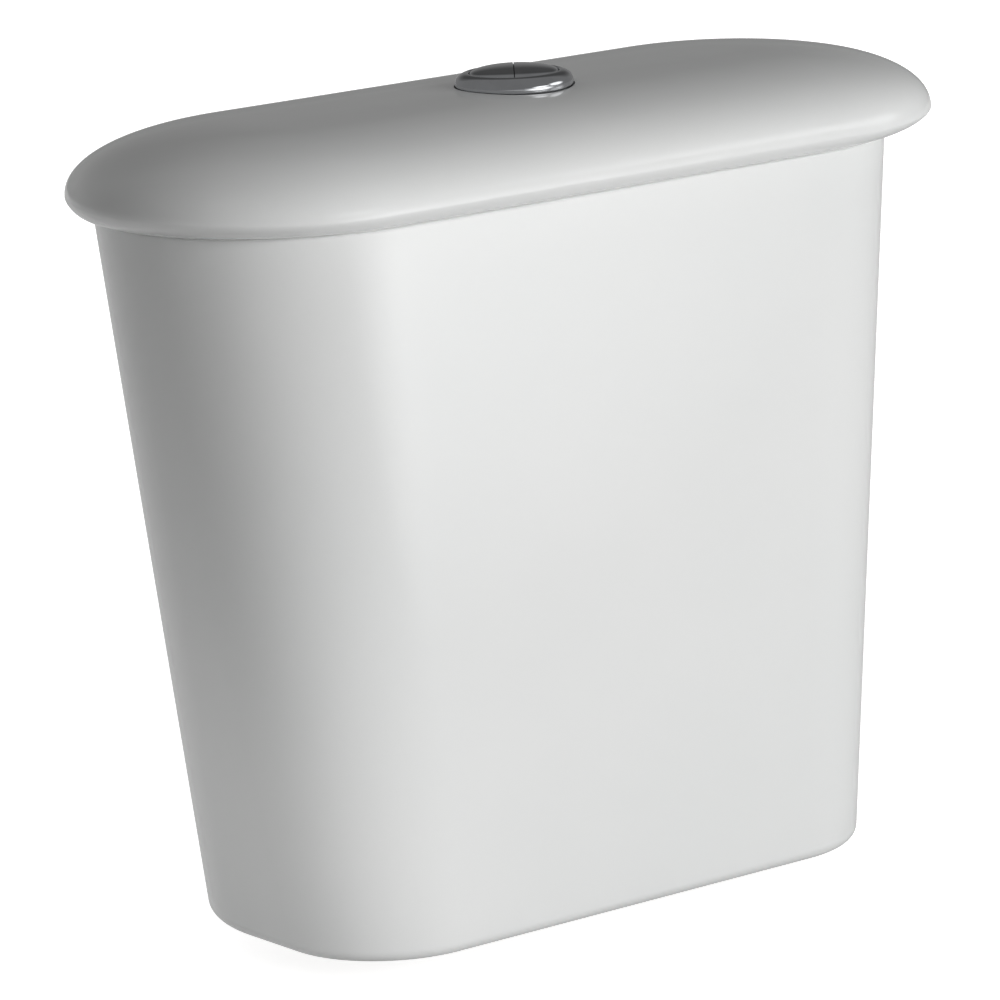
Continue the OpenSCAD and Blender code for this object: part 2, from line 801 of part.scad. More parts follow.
module outlet_seal() {
    color(rubber) pipe(waterway_r + 5, tube_r + push_play, seat_z, seal_t);
}

// Ring that holds the seal up against the lift tube's flange
module seal_retainer() {
    color(tinted) pipe(tube_r + 5, tube_r + push_play, seat_z - 2.5, 2.5);
}

// Hollow float on the lift tube
module flush_float() {
    float_wall = 1.6;
    low_z = seal_top_z + tube_flange_t;
    collar_h = 6;
    shell = [
        [tube_r + push_play, 0], [flush_float_r - 4, 0], [flush_float_r, 4],
        [flush_float_r, flush_float_h], [flush_float_r - float_wall, flush_float_h],
        [flush_float_r - float_wall, collar_h], [tube_r + push_play + float_wall, collar_h],
        [tube_r + push_play + float_wall, flush_float_h], [tube_r + push_play, flush_float_h]
    ];
    color(moulded) translate([0, 0, low_z]) rotate_extrude() polygon(shell);
}

// Sleeve round the lift tube that lifts it by its shoulder
module half_lift_sleeve() {
    color(tinted) {
        difference() {
            union() {
                translate([0, 0, basket_top_z]) cylinder(r = sleeve_r, h = sleeve_h);
                half_side() lift_yoke(sleeve_top_z);
            }
            translate([0, 0, basket_top_z - over]) cylinder(r = tube_r + slide_play, h = sleeve_h + 2 * over);
        }
    }
}

// Ring on the basket with two posts for the lever pin
module lever_bridge() {
    plate_t = 3;
    gusset = 10;
    color(moulded)
    difference() {
        union() {
            pipe(basket_r - 1, sleeve_r + 1, basket_top_z, plate_t);
            for (side = [-1, 1]) {
                scale_y = side * (post_in + post_t / 2);
                translate([-post_w / 2, scale_y - post_t / 2, basket_top_z])
                    cube([post_w, post_t, pin_rise]);
                translate([0, scale_y + post_t / 2, pin_z]) rotate([90, 0, 0])
                    cylinder(r = post_w / 2, h = post_t);
                for (edge = [-1, 1])
                    translate([edge * (post_w / 2 - 1), side * (post_in + post_t), basket_top_z])
                    rotate([0, -90, 0]) translate([0, 0, -1])
                    linear_extrude(2) polygon([[0, 0], [pin_rise / 2, 0], [0, side * (gusset - 3)]]);
            }
        }
        translate([0, post_in * 2, pin_z]) rotate([90, 0, 0]) cylinder(r = pin_r + push_play, h = post_in * 4);
    }
}

module lever_pin() {
    half_len = post_in + post_t + 1;
    color(steel)
    translate([0, half_len, pin_z]) rotate([90, 0, 0]) cylinder(r = pin_r, h = 2 * half_len);
}

// Rocking lever: pressed at one end by its rod, it lifts the yoke with the other
module flush_lever() {
    bar_y = [rod_y - lever_w / 2, rod_y + lever_w / 2];
    bar_z = [pin_z - lever_h / 2, bar_top_z];
    hub_y = [0.3, post_in - 0.4];
    color(moulded)
    difference() {
        union() {
            bar([-output_arm - bar_tip, rod_x + bar_tip], bar_y, bar_z);
            translate([0, hub_y[1], pin_z]) rotate([90, 0, 0]) cylinder(r = hub_r, h = hub_y[1] - hub_y[0]);
        }
        translate([0, post_in * 2, pin_z]) rotate([90, 0, 0]) cylinder(r = pin_r + pin_play, h = post_in * 4);
    }
}

module full_lever() {
    full_side() flush_lever();
}

module half_lever() {
    half_side() flush_lever();
}

module inlet_gasket() {
    color(rubber) at_fill() pipe(shank_flange_r - 1, inlet_r + thread_play, floor_z, inlet_gasket_t);
}

// Threaded inlet with a flange inside the tank and a barrel for the riser
module inlet_shank() {
    color(moulded)
    at_fill()
    difference() {
        union() {
            translate([0, 0, -inlet_drop]) cylinder(r = inlet_r, h = inlet_drop + inlet_thread_end_z);
            translate([0, 0, -inlet_drop]) cylinder(r = inlet_r - neck_step, h = shank_flange_z + inlet_drop);
            translate([0, 0, shank_flange_z]) cylinder(r = shank_flange_r, h = shank_flange_t);
            translate([0, 0, shank_flange_z]) cylinder(r = shank_r, h = shank_top_z - shank_flange_z);
        }
        translate([0, 0, -inlet_drop - over]) cylinder(r = inlet_bore_r, h = riser_z + inlet_drop + 2 * over);
        translate([0, 0, riser_z]) cylinder(r = riser_r + push_play, h = shank_top_z);
    }
}

module inlet_backnut() {
    color(moulded)
    at_fill() translate([0, 0, foot_recess - inlet_nut_h])
    difference() {
        union() {
            cylinder(r = inlet_r + inlet_nut_wall, h = inlet_nut_h, $fn = 6);
            translate([0, 0, inlet_nut_h - 2]) cylinder(r = inlet_r + inlet_nut_wall + washer_lip, h = 2);
        }
        translate([0, 0, -over]) cylinder(r = inlet_r + thread_play, h = inlet_nut_h + 2 * over);
    }
}

// Strainer cup in the inlet's bore
module inlet_filter() {
    cup_r = inlet_bore_r - push_play;
    cup_wall = 0.8;
    cup_h = 30;
    color(tinted)
    at_fill() translate([0, 0, 1 - inlet_drop])
    difference() {
        cylinder(r = cup_r, h = cup_h);
        translate([0, 0, -over]) cylinder(r = cup_r - cup_wall, h = cup_h);
        for (turn = [0 : 60 : 120], z = [6 : 5 : 21])
            rotate([0, 0, turn]) bar([-cup_r - over, cup_r + over], [-1.2, 1.2], [z, z + 3]);
    }
}

module riser_tube() {
    color(moulded) at_fill() pipe(riser_r, inlet_bore_r, riser_z, riser_top_z - riser_z);
}

// Collar nut that locks the riser in the shank
module riser_lock_nut() {
    low_z = shank_top_z - riser_nut_grip;
    grip_n = 12;
    color(tinted)
    at_fill()
    difference() {
        union() {
            translate([0, 0, low_z]) cylinder(r = shank_r + 3, h = riser_nut_grip + riser_nut_h);
            for (i = [1 : grip_n])
                rotate([0, 0, 360 * i / grip_n])
                bar([0, shank_r + 4], [-1, 1], [low_z + 2, low_z + riser_nut_grip + riser_nut_h - 4]);
        }
        translate([0, 0, low_z - over]) cylinder(r = shank_r + thread_play, h = riser_nut_grip + over);
        translate([0, 0, low_z]) cylinder(r = riser_r + push_play, h = riser_nut_grip + riser_nut_h + over);
    }
}

// Body of the fill valve, with a ring of outlets under its skirt
module fill_valve_head() {
    chamber_r = 13;
    skirt = 2.5;
    outlet_n = 8;
    deck_z = riser_top_z + 3;
    color(moulded)
    at_fill()
    difference() {
        translate([0, 0, head_z]) cylinder(r = head_r, h = head_h);
        translate([0, 0, deck_z]) cylinder(r = chamber_r, h = head_top_z);
        translate([0, 0, head_z]) cylinder(r = inlet_bore_r, h = head_h);
        translate([0, 0, head_z - over]) cylinder(r = riser_r + push_play, h = riser_top_z - head_z + over);
        pipe(head_r - skirt, riser_r + skirt, head_z - over, riser_top_z - head_z - 2 + over);
        for (i = [1 : outlet_n])
            rotate([0, 0, 360 * i / outlet_n])
            translate([(chamber_r + riser_r + skirt) / 2, 0, head_z]) cylinder(r = 2, h = head_h / 2);
    }
}

module diaphragm() {
    color(rubber) at_fill() pipe(head_r - 0.5, 1.5, head_top_z, diaphragm_t);
}

// Screwed cap over the diaphragm, with the pilot nozzle and two ears for the float lever's pin
module fill_valve_cap() {
    deck_z = cap_top_z - 4;
    ear_in = float_lever_w / 2 + ear_play;
    ear_r = 4;
    cap_r = head_r + thread_play + cap_wall;
    grip_n = 18;
    color(tinted)
    at_fill()
    difference() {
        union() {
            translate([0, 0, head_top_z - cap_grip]) cylinder(r = cap_r, h = cap_top_z - head_top_z + cap_grip);
            for (i = [1 : grip_n])
                rotate([0, 0, 360 * i / grip_n])
                bar([0, cap_r + 0.7], [-0.8, 0.8], [head_top_z - cap_grip + 1, cap_top_z - 2]);
            translate([0, 0, deck_z]) cylinder(r = 4, h = 9);
            for (side = [-1, 1]) {
                translate([float_pin_x - ear_r, side * (ear_in + ear_t / 2) - ear_t / 2, deck_z])
                    cube([2 * ear_r, ear_t, float_pin_z - deck_z]);
                translate([float_pin_x, side * (ear_in + ear_t / 2) + ear_t / 2, float_pin_z])
                    rotate([90, 0, 0]) cylinder(r = ear_r, h = ear_t);
            }
        }
        translate([0, 0, head_top_z - cap_grip - over])
            cylinder(r = head_r + thread_play, h = cap_grip + diaphragm_t + over);
        translate([0, 0, head_top_z]) cylinder(r = head_r - 4, h = deck_z - head_top_z);
        translate([0, 0, deck_z - over]) cylinder(r = 1.2, h = 20);
        translate([float_pin_x, 2 * ear_in, float_pin_z]) rotate([90, 0, 0])
            cylinder(r = float_pin_r + push_play, h = 4 * ear_in);
    }
}

// Float cup that slides on the riser, open below
module fill_float() {
    float_wall = 1.8;
    hole_r = riser_r + slide_play;
    top = fill_float_h;
    cup = [
        [hole_r, 0], [hole_r + float_wall, 0], [hole_r + float_wall, top - 3],
        [fill_float_r - float_wall, top - 3], [fill_float_r - float_wall, 0],
        [fill_float_r, 0], [fill_float_r, top - 5], [fill_float_r - 5, top], [hole_r, top]
    ];
    color(moulded) at_fill() translate([0, 0, float_z]) rotate_extrude() polygon(cup);
}

// Adjusting rod from the float to the lever, with a collar under the lever and a head over it
module float_rod() {
    low_z = float_z + fill_float_h;
    reach = float_lever_t / 2 + 1;
    color(moulded)
    at_fill() translate([float_rod_x, 0, 0]) {
        translate([0, 0, low_z]) cylinder(r = float_rod_r, h = float_end_z + reach + 2.5 - low_z);
        translate([0, 0, float_end_z - reach - 2]) cylinder(r = 3.4, h = 2);
        translate([0, 0, float_end_z + reach]) cylinder(r = 3.4, h = 2.5);
    }
}

// Clip that holds the rod's foot on the float
module float_rod_clip() {
    low_z = float_z + fill_float_h;
    color(tinted)
    at_fill() translate([float_rod_x - 1, 0, low_z])
    difference() {
        union() {
            translate([2 - clip_len, -clip_w / 2, 0]) cube([clip_len, clip_w, clip_h]);
            translate([2, 0, 0]) cylinder(r = clip_w / 2, h = clip_h);
        }
        translate([1, 0, -over]) cylinder(r = float_rod_r + push_play, h = clip_h + 2 * over);
    }
}

// Lever that presses the pilot nozzle shut as the float rises
module float_lever() {
    half_t = float_lever_t / 2;
    half_w = float_lever_w / 2;
    hub = float_pin_r + 2;
    slot_w = 2 * float_rod_r + 1.2;
    color(tinted)
    at_fill() translate([float_pin_x, 0, float_pin_z]) rotate([0, float_rest, 0])
    difference() {
        union() {
            bar([-float_lever_tail, float_arm + float_lever_tip], [-half_w, half_w], [-half_t, half_t]);
            translate([0, half_w, 0]) rotate([90, 0, 0]) cylinder(r = hub, h = float_lever_w);
            translate([-float_pin_x, 0, -half_t - 2]) cylinder(r = 2.5, h = half_t + 2);
        }
        translate([0, float_lever_w, 0]) rotate([90, 0, 0])
            cylinder(r = float_pin_r + pin_play, h = 2 * float_lever_w);
        bar([float_arm - 3, float_arm + 3], [-slot_w / 2, slot_w / 2], [-half_t - over, half_t + over]);
    }
}

module float_lever_pin() {
    half_len = float_lever_w / 2 + ear_play + ear_t + 0.5;
    color(steel)
    at_fill() translate([float_pin_x, half_len, float_pin_z]) rotate([90, 0, 0])
        cylinder(r = float_pin_r, h = 2 * half_len);
}

cistern_body();
cistern_lid();
lid_pads();
button_bezel();
bezel_seal();
button_housing();
button_nut();
full_button();
half_button();
full_plunger();
half_plunger();
full_spring();
half_spring();
full_push_rod();
half_push_rod();
full_lock_nut();
half_lock_nut();
outlet_gasket();
valve_base();
outlet_backnut();
valve_basket();
lift_tube();
outlet_seal();
seal_retainer();
flush_float();
half_lift_sleeve();
lever_bridge();
lever_pin();
full_lever();
half_lever();
inlet_gasket();
inlet_shank();
inlet_backnut();
inlet_filter();
riser_tube();
riser_lock_nut();
fill_valve_head();
diaphragm();
fill_valve_cap();
fill_float();
float_rod();
float_rod_clip();
float_lever();
float_lever_pin();
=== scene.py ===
import json
import math

import bmesh
import bpy
import numpy as np
from mathutils import Matrix, Vector


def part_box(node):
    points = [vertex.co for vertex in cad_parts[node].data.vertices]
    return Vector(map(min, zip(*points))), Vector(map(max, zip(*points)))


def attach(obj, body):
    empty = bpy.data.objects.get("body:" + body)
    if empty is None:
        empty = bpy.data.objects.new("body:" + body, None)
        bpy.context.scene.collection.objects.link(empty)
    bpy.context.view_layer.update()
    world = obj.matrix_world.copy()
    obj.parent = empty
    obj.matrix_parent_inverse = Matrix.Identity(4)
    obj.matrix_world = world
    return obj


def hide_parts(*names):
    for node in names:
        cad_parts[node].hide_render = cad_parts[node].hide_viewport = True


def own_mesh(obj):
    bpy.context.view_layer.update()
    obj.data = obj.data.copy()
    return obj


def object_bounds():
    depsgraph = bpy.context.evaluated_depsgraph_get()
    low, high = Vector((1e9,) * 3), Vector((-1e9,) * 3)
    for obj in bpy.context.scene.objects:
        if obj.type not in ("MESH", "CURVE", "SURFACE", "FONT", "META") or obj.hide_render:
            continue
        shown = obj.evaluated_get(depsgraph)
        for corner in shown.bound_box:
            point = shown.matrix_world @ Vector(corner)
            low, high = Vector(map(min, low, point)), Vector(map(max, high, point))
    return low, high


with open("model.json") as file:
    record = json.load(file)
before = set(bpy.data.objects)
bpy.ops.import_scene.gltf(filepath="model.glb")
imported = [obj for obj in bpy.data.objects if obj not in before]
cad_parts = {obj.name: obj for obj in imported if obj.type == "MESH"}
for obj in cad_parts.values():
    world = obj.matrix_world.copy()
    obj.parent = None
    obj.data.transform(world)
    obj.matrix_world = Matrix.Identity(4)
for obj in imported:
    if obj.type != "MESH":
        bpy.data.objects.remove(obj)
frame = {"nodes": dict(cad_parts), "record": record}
cadLow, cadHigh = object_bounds()

mm = 0.001
collection = bpy.context.scene.collection
print("stage: frame loaded with", len(frame["nodes"]), "nodes")


# Node helpers

def newMaterial(name):
    finish = bpy.data.materials.new(name)
    finish.use_nodes = True
    tree = finish.node_tree
    return finish, tree, tree.nodes["Principled BSDF"]


def objectCoords(tree):
    return tree.nodes.new("ShaderNodeTexCoord").outputs["Object"]


def noise(tree, coords, scale, detail=2.0):
    node = tree.nodes.new("ShaderNodeTexNoise")
    node.inputs["Scale"].default_value = scale
    node.inputs["Detail"].default_value = detail
    tree.links.new(coords, node.inputs["Vector"])
    return node.outputs[0]


def remap(tree, value, low, high, fromLow=0.3, fromHigh=0.7):
    node = tree.nodes.new("ShaderNodeMapRange")
    node.inputs["From Min"].default_value = fromLow
    node.inputs["From Max"].default_value = fromHigh
    node.inputs["To Min"].default_value = low
    node.inputs["To Max"].default_value = high
    tree.links.new(value, node.inputs["Value"])
    return node.outputs["Result"]


def mixColour(tree, factor, first, second):
    node = tree.nodes.new("ShaderNodeMix")
    node.data_type = "RGBA"
    tree.links.new(factor, node.inputs[0])
    for socket, colour in ((node.inputs[6], first), (node.inputs[7], second)):
        if isinstance(colour, bpy.types.NodeSocket):
            tree.links.new(colour, socket)
        else:
            socket.default_value = (*colour, 1.0)
    return node.outputs[2]


def mixValue(tree, factor, first, second):
    node = tree.nodes.new("ShaderNodeMix")
    tree.links.new(factor, node.inputs[0])
    for socket, value in ((node.inputs[2], first), (node.inputs[3], second)):
        if isinstance(value, bpy.types.NodeSocket):
            tree.links.new(value, socket)
        else:
            socket.default_value = value
    return node.outputs[0]


def bump(tree, height, depth, strength=1.0, under=None):
    node = tree.nodes.new("ShaderNodeBump")
    node.inputs["Strength"].default_value = strength
    node.inputs["Distance"].default_value = depth
    tree.links.new(height, node.inputs["Height"])
    if under is not None:
        tree.links.new(under, node.inputs["Normal"])
    return node.outputs["Normal"]


# Camera, at the photograph's angle

cameraLook = {
    "azimuth": -37.42, "elevation": 12.01, "roll": 2.54,
    "distance": 2.54059, "focus": (0.0, 0.013, 0.180),
    "focalPixels": 6172.09, "imagePixels": 1000.0, "sensor": 36.0,
    "shiftX": -0.01103, "shiftY": -0.05025,
}


def makeCamera(look):
    az, el, roll = (math.radians(look[k]) for k in ("azimuth", "elevation", "roll"))
    back = Vector((math.sin(az) * math.cos(el), -math.cos(az) * math.cos(el), math.sin(el)))
    right = Vector((math.cos(az), math.sin(az), 0.0))
    up = back.cross(right)
    axisX = math.cos(roll) * right - math.sin(roll) * up
    axisY = math.sin(roll) * right + math.cos(roll) * up
    data = bpy.data.cameras.new("camera")
    data.sensor_width = look["sensor"]
    data.lens = look["focalPixels"] / look["imagePixels"] * look["sensor"]
    data.shift_x = look["shiftX"]
    data.shift_y = look["shiftY"]
    camera = bpy.data.objects.new("camera", data)
    turn = Matrix((axisX, axisY, back)).transposed().to_4x4()
    camera.matrix_world = Matrix.Translation(Vector(look["focus"]) + back * look["distance"]) @ turn
    collection.objects.link(camera)
    bpy.context.scene.camera = camera


makeCamera(cameraLook)


# Studio: pale floor, soft lamps, and a grey tent that only reflections and fill light see

studio = {
    "floorSize": 30.0, "floorGlow": 0.86, "floorColour": (0.60, 0.60, 0.60), "floorRoughness": 0.9,
    "ambient": 0.19,
    "tentRadius": 5.0, "tentLevel": 0.22, "tentAround": 48, "tentUpward": 12,
    "flagRadius": 4.9, "flagLevel": 0.50, "flagLift": 0.0005,
    "lamps": [
        {"name": "keyLamp", "azimuth": 4.0, "elevation": 13.0, "distance": 2.6,
         "size": (0.9, 0.7), "power": 22.4},
        {"name": "lowLamp", "azimuth": 24.0, "elevation": 8.0, "distance": 2.6,
         "size": (0.9, 0.7), "power": 23.1},
        {"name": "leftStrip", "azimuth": -85.0, "elevation": -29.0, "distance": 0.34,
         "size": (0.3, 0.04), "power": 0.060},
        {"name": "frontStrip", "azimuth": -55.0, "elevation": -29.0, "distance": 0.34,
         "size": (0.3, 0.04), "power": 0.048},
        {"name": "backLamp", "azimuth": 168.0, "elevation": 14.0, "distance": 3.0,
         "size": (1.6, 1.2), "power": 20.0},
        {"name": "backLow", "azimuth": 180.0, "elevation": 2.0, "distance": 2.6,
         "size": (1.2, 0.9), "power": 26.0},
        {"name": "rightLow", "azimuth": 116.0, "elevation": 2.0, "distance": 2.6,
         "size": (1.0, 0.8), "power": 20.0},
    ],
    "softBoxes": [
        {"name": "keyBox", "azimuth": 16.0, "elevation": 13.0, "distance": 2.6,
         "size": (1.9, 0.7), "level": 2.6, "edge": 0.22, "fade": 0.55},
        {"name": "rightBox", "azimuth": 52.0, "elevation": 17.0, "distance": 2.8,
         "size": (2.2, 1.4), "level": 2.0, "edge": 0.22, "fade": 0.55},
        {"name": "lowBox", "azimuth": 13.0, "elevation": 2.0, "distance": 0.54,
         "size": (0.66, 0.40), "level": 3.3, "edge": 0.50, "fade": 0.9},
        {"name": "backFlag", "azimuth": 142.0, "elevation": 32.0, "distance": 3.2,
         "size": (5.0, 2.7), "level": 0.08, "edge": 0.22, "fade": 0.55},
    ],
}
aim = (cadLow + cadHigh) / 2


def aimedFrom(azimuth, elevation, distance):
    az, el = math.radians(azimuth), math.radians(elevation)
    side = Vector((math.sin(az) * math.cos(el), -math.cos(az) * math.cos(el), math.sin(el)))
    turn = side.to_track_quat("Z", "Y").to_matrix().to_4x4()
    return Matrix.Translation(aim + side * distance) @ turn


def addLamp(look):
    data = bpy.data.lights.new(look["name"], "AREA")
    data.shape = "RECTANGLE"
    data.size, data.size_y = look["size"]
    data.energy = look["power"]
    lamp = bpy.data.objects.new(look["name"], data)
    lamp.matrix_world = aimedFrom(look["azimuth"], look["elevation"], look["distance"])
    lamp.visible_camera = False
    lamp.visible_glossy = False
    collection.objects.link(lamp)


def stageMesh(name, points, faces, finish, seenBy):
    mesh = bpy.data.meshes.new(name)
    mesh.from_pydata(points, [], faces)
    mesh.materials.append(finish)
    prop = bpy.data.objects.new(name, mesh)
    prop.visible_camera = "camera" in seenBy
    prop.visible_diffuse = "diffuse" in seenBy
    prop.visible_shadow = "shadow" in seenBy
    collection.objects.link(prop)
    return prop


def glowFinish(name, level):
    finish, tree, shader = newMaterial(name)
    shader.inputs["Base Color"].default_value = (0.0, 0.0, 0.0, 1.0)
    shader.inputs["Specular IOR Level"].default_value = 0.0
    shader.inputs["Emission Color"].default_value = (1.0, 1.0, 1.0, 1.0)
    shader.inputs["Emission Strength"].default_value = level
    return finish, tree, shader


# What reflections see of a lamp or a dark flag: a panel that fades into the tent towards its edges
def addSoftBox(look):
    finish, tree, shader = glowFinish(look["name"], look["level"])
    gradient = tree.nodes.new("ShaderNodeTexGradient")
    gradient.gradient_type = "SPHERICAL"
    tree.links.new(objectCoords(tree), gradient.inputs["Vector"])
    fade = remap(tree, gradient.outputs["Fac"], look["edge"], look["level"], 0.0, look["fade"])
    tree.links.new(fade, shader.inputs["Emission Strength"])
    corners = [(-1, -1, 0), (1, -1, 0), (1, 1, 0), (-1, 1, 0)]
    panel = stageMesh(look["name"], corners, [(0, 1, 2, 3)], finish, ())
    width, high = look["size"]
    panel.matrix_world = (aimedFrom(look["azimuth"], look["elevation"], look["distance"])
                          @ Matrix.Diagonal((width / 2, high / 2, 1.0, 1.0)))


def seenDirectly(tree):
    path = tree.nodes.new("ShaderNodeLightPath")
    total = path.outputs["Is Camera Ray"]
    for name in ("Is Glossy Ray", "Is Transmission Ray"):
        node = tree.nodes.new("ShaderNodeMath")
        node.operation = "MAXIMUM"
        tree.links.new(total, node.inputs[0])
        tree.links.new(path.outputs[name], node.inputs[1])
        total = node.outputs[0]
    return total


def makeWorld():
    world = bpy.data.worlds.new("studioWorld")
    world.use_nodes = True
    tree = world.node_tree
    background = tree.nodes["Background"]
    background.inputs["Color"].default_value = (1.0, 1.0, 1.0, 1.0)
    level = remap(tree, seenDirectly(tree), studio["ambient"], 1.0, 0.0, 1.0)
    tree.links.new(level, background.inputs["Strength"])
    bpy.context.scene.world = world


def makeFloor():
    finish, tree, shader = newMaterial("paleFloor")
    shader.inputs["Base Color"].default_value = (*studio["floorColour"], 1.0)
    shader.inputs["Roughness"].default_value = studio["floorRoughness"]
    shader.inputs["Specular IOR Level"].default_value = 0.0
    shader.inputs["Emission Color"].default_value = (1.0, 1.0, 1.0, 1.0)
    glow = remap(tree, seenDirectly(tree), 0.0, studio["floorGlow"], 0.0, 1.0)
    tree.links.new(glow, shader.inputs["Emission Strength"])
    half, low = studio["floorSize"] / 2, cadLow.z
    corners = [(-half, -half, low), (half, -half, low), (half, half, low), (-half, half, low)]
    stageMesh("floor", corners, [(0, 1, 2, 3)], finish, ("camera", "diffuse", "shadow"))


def makeTent():
    around, upward = studio["tentAround"], studio["tentUpward"]
    points, faces = [], []
    for j in range(upward + 1):
        el = math.pi / 2 * j / upward
        for i in range(around):
            az = 2 * math.pi * i / around
            points.append((studio["tentRadius"] * math.cos(az) * math.cos(el),
                           studio["tentRadius"] * math.sin(az) * math.cos(el),
                           cadLow.z + studio["tentRadius"] * math.sin(el)))
    for j in range(upward):
        for i in range(around):
            k = (i + 1) % around
            faces.append((j * around + i, j * around + k, (j + 1) * around + k, (j + 1) * around + i))
    stageMesh("greyTent", points, faces, glowFinish("greyTent", studio["tentLevel"])[0], ("diffuse",))


# Grey flag on the floor, which keeps the glow of the floor out of the reflections
def makeFloorFlag():
    around = studio["tentAround"]
    points = [(studio["flagRadius"] * math.cos(2 * math.pi * i / around),
               studio["flagRadius"] * math.sin(2 * math.pi * i / around),
               cadLow.z + studio["flagLift"]) for i in range(around)]
    finish = glowFinish("floorFlag", studio["flagLevel"])[0]
    stageMesh("floorFlag", points, [tuple(range(around))], finish, ())


makeWorld()
makeFloor()
makeTent()
makeFloorFlag()
for lampLook in studio["lamps"]:
    addLamp(lampLook)
for boxLook in studio["softBoxes"]:
    addSoftBox(boxLook)
bpy.context.scene.view_settings.view_transform = "Standard"
print("stage: camera and studio ready")


# Finishes

glazeLook = {
    "white": (0.80, 0.805, 0.80), "shade": (0.775, 0.785, 0.78), "cloudScale": 8.0, "ior": 1.52,
    "roughness": (0.035, 0.07), "glossScale": 45.0,
    "waveScale": 26.0, "waveDepth": 0.0005, "waveStrength": 0.35,
    "peelScale": 700.0, "peelDepth": 0.00003, "peelStrength": 0.3,
    "clay": (0.70, 0.655, 0.58), "clayShade": 0.86, "clayRoughness": 0.72,
    "clayEdge": (0.42, 0.58), "clayWander": 0.2, "edgeScale": 160.0,
    "grainScale": 1500.0, "grainDepth": 0.0002, "grainStrength": 0.6,
}


# Glaze, and bare clay where the mesh says so, with a wandering edge between them
def glazedCeramic(name, look):
    finish, tree, shader = newMaterial(name)
    coords = objectCoords(tree)
    bare = tree.nodes.new("ShaderNodeAttribute")
    bare.attribute_name = "bareClay"
    grain = noise(tree, coords, look["grainScale"], 4.0)
    edge = noise(tree, coords, look["edgeScale"], 3.0)
    cover = tree.nodes.new("ShaderNodeMath")
    cover.operation = "ADD"
    tree.links.new(bare.outputs["Fac"], cover.inputs[0])
    tree.links.new(remap(tree, edge, -look["clayWander"], look["clayWander"]), cover.inputs[1])
    clay = remap(tree, cover.outputs[0], 0.0, 1.0, *look["clayEdge"])
    cloud = remap(tree, noise(tree, coords, look["cloudScale"]), 0.0, 1.0)
    white = mixColour(tree, cloud, look["white"], look["shade"])
    darkClay = [look["clayShade"] * c for c in look["clay"]]
    dusty = mixColour(tree, remap(tree, grain, 0.0, 1.0), look["clay"], darkClay)
    tree.links.new(mixColour(tree, clay, white, dusty), shader.inputs["Base Color"])
    gloss = remap(tree, noise(tree, coords, look["glossScale"], 3.0), *look["roughness"])
    tree.links.new(mixValue(tree, clay, gloss, look["clayRoughness"]), shader.inputs["Roughness"])
    wave = bump(tree, noise(tree, coords, look["waveScale"], 1.0), look["waveDepth"], look["waveStrength"])
    peelNoise = noise(tree, coords, look["peelScale"], 2.0)
    peel = bump(tree, peelNoise, look["peelDepth"], look["peelStrength"], wave)
    rough = bump(tree, mixValue(tree, clay, 0.5, grain), look["grainDepth"], look["grainStrength"], peel)
    tree.links.new(rough, shader.inputs["Normal"])
    shader.inputs["IOR"].default_value = look["ior"]
    return finish


chromeLook = {
    "bright": (0.60, 0.61, 0.63), "dull": (0.54, 0.55, 0.57), "roughness": (0.045, 0.11), "smearScale": 120.0,
    "rippleScale": 260.0, "rippleDepth": 0.00005, "rippleStrength": 0.15,
}


def platedChrome(name, look):
    finish, tree, shader = newMaterial(name)
    coords = objectCoords(tree)
    smear = noise(tree, coords, look["smearScale"], 4.0)
    tree.links.new(mixColour(tree, remap(tree, smear, 0.0, 1.0), look["bright"], look["dull"]),
                   shader.inputs["Base Color"])
    tree.links.new(remap(tree, smear, *look["roughness"]), shader.inputs["Roughness"])
    shader.inputs["Metallic"].default_value = 1.0
    ripple = noise(tree, coords, look["rippleScale"], 1.0)
    tree.links.new(bump(tree, ripple, look["rippleDepth"], look["rippleStrength"]), shader.inputs["Normal"])
    return finish


plasticLooks = {
    "whitePlastic": {"light": (0.78, 0.78, 0.76), "dark": (0.70, 0.70, 0.685), "roughness": (0.32, 0.46)},
    "bluePlastic": {"light": (0.075, 0.19, 0.36), "dark": (0.06, 0.155, 0.30), "roughness": (0.30, 0.44)},
    "padSilicone": {"light": (0.72, 0.72, 0.70), "dark": (0.64, 0.64, 0.62), "roughness": (0.5, 0.62)},
}
mouldLook = {
    "flowScale": 55.0, "glossScale": 240.0,
    "sparkScale": 2600.0, "sparkDepth": 0.00004, "sparkStrength": 0.35,
    "sinkScale": 90.0, "sinkDepth": 0.00015, "sinkStrength": 0.25,
}


# Plastic with the fine grain of the mould's sparked faces and the sink marks of cooling
def mouldedPlastic(name, look, mould):
    finish, tree, shader = newMaterial(name)
    coords = objectCoords(tree)
    flow = noise(tree, coords, mould["flowScale"], 3.0)
    tree.links.new(mixColour(tree, remap(tree, flow, 0.0, 1.0), look["light"], look["dark"]),
                   shader.inputs["Base Color"])
    gloss = noise(tree, coords, mould["glossScale"], 3.0)
    tree.links.new(remap(tree, gloss, *look["roughness"]), shader.inputs["Roughness"])
    sparkNoise = noise(tree, coords, mould["sparkScale"], 2.0)
    spark = bump(tree, sparkNoise, mould["sparkDepth"], mould["sparkStrength"])
    sinkNoise = noise(tree, coords, mould["sinkScale"], 1.0)
    sink = bump(tree, sinkNoise, mould["sinkDepth"], mould["sinkStrength"], spark)
    tree.links.new(sink, shader.inputs["Normal"])
    return finish


rubberLook = {
    "dark": (0.022, 0.022, 0.023), "bloom": (0.052, 0.052, 0.05), "bloomScale": 130.0,
    "roughness": (0.55, 0.78), "grainScale": 3200.0, "grainDepth": 0.00005, "grainStrength": 0.5,
}


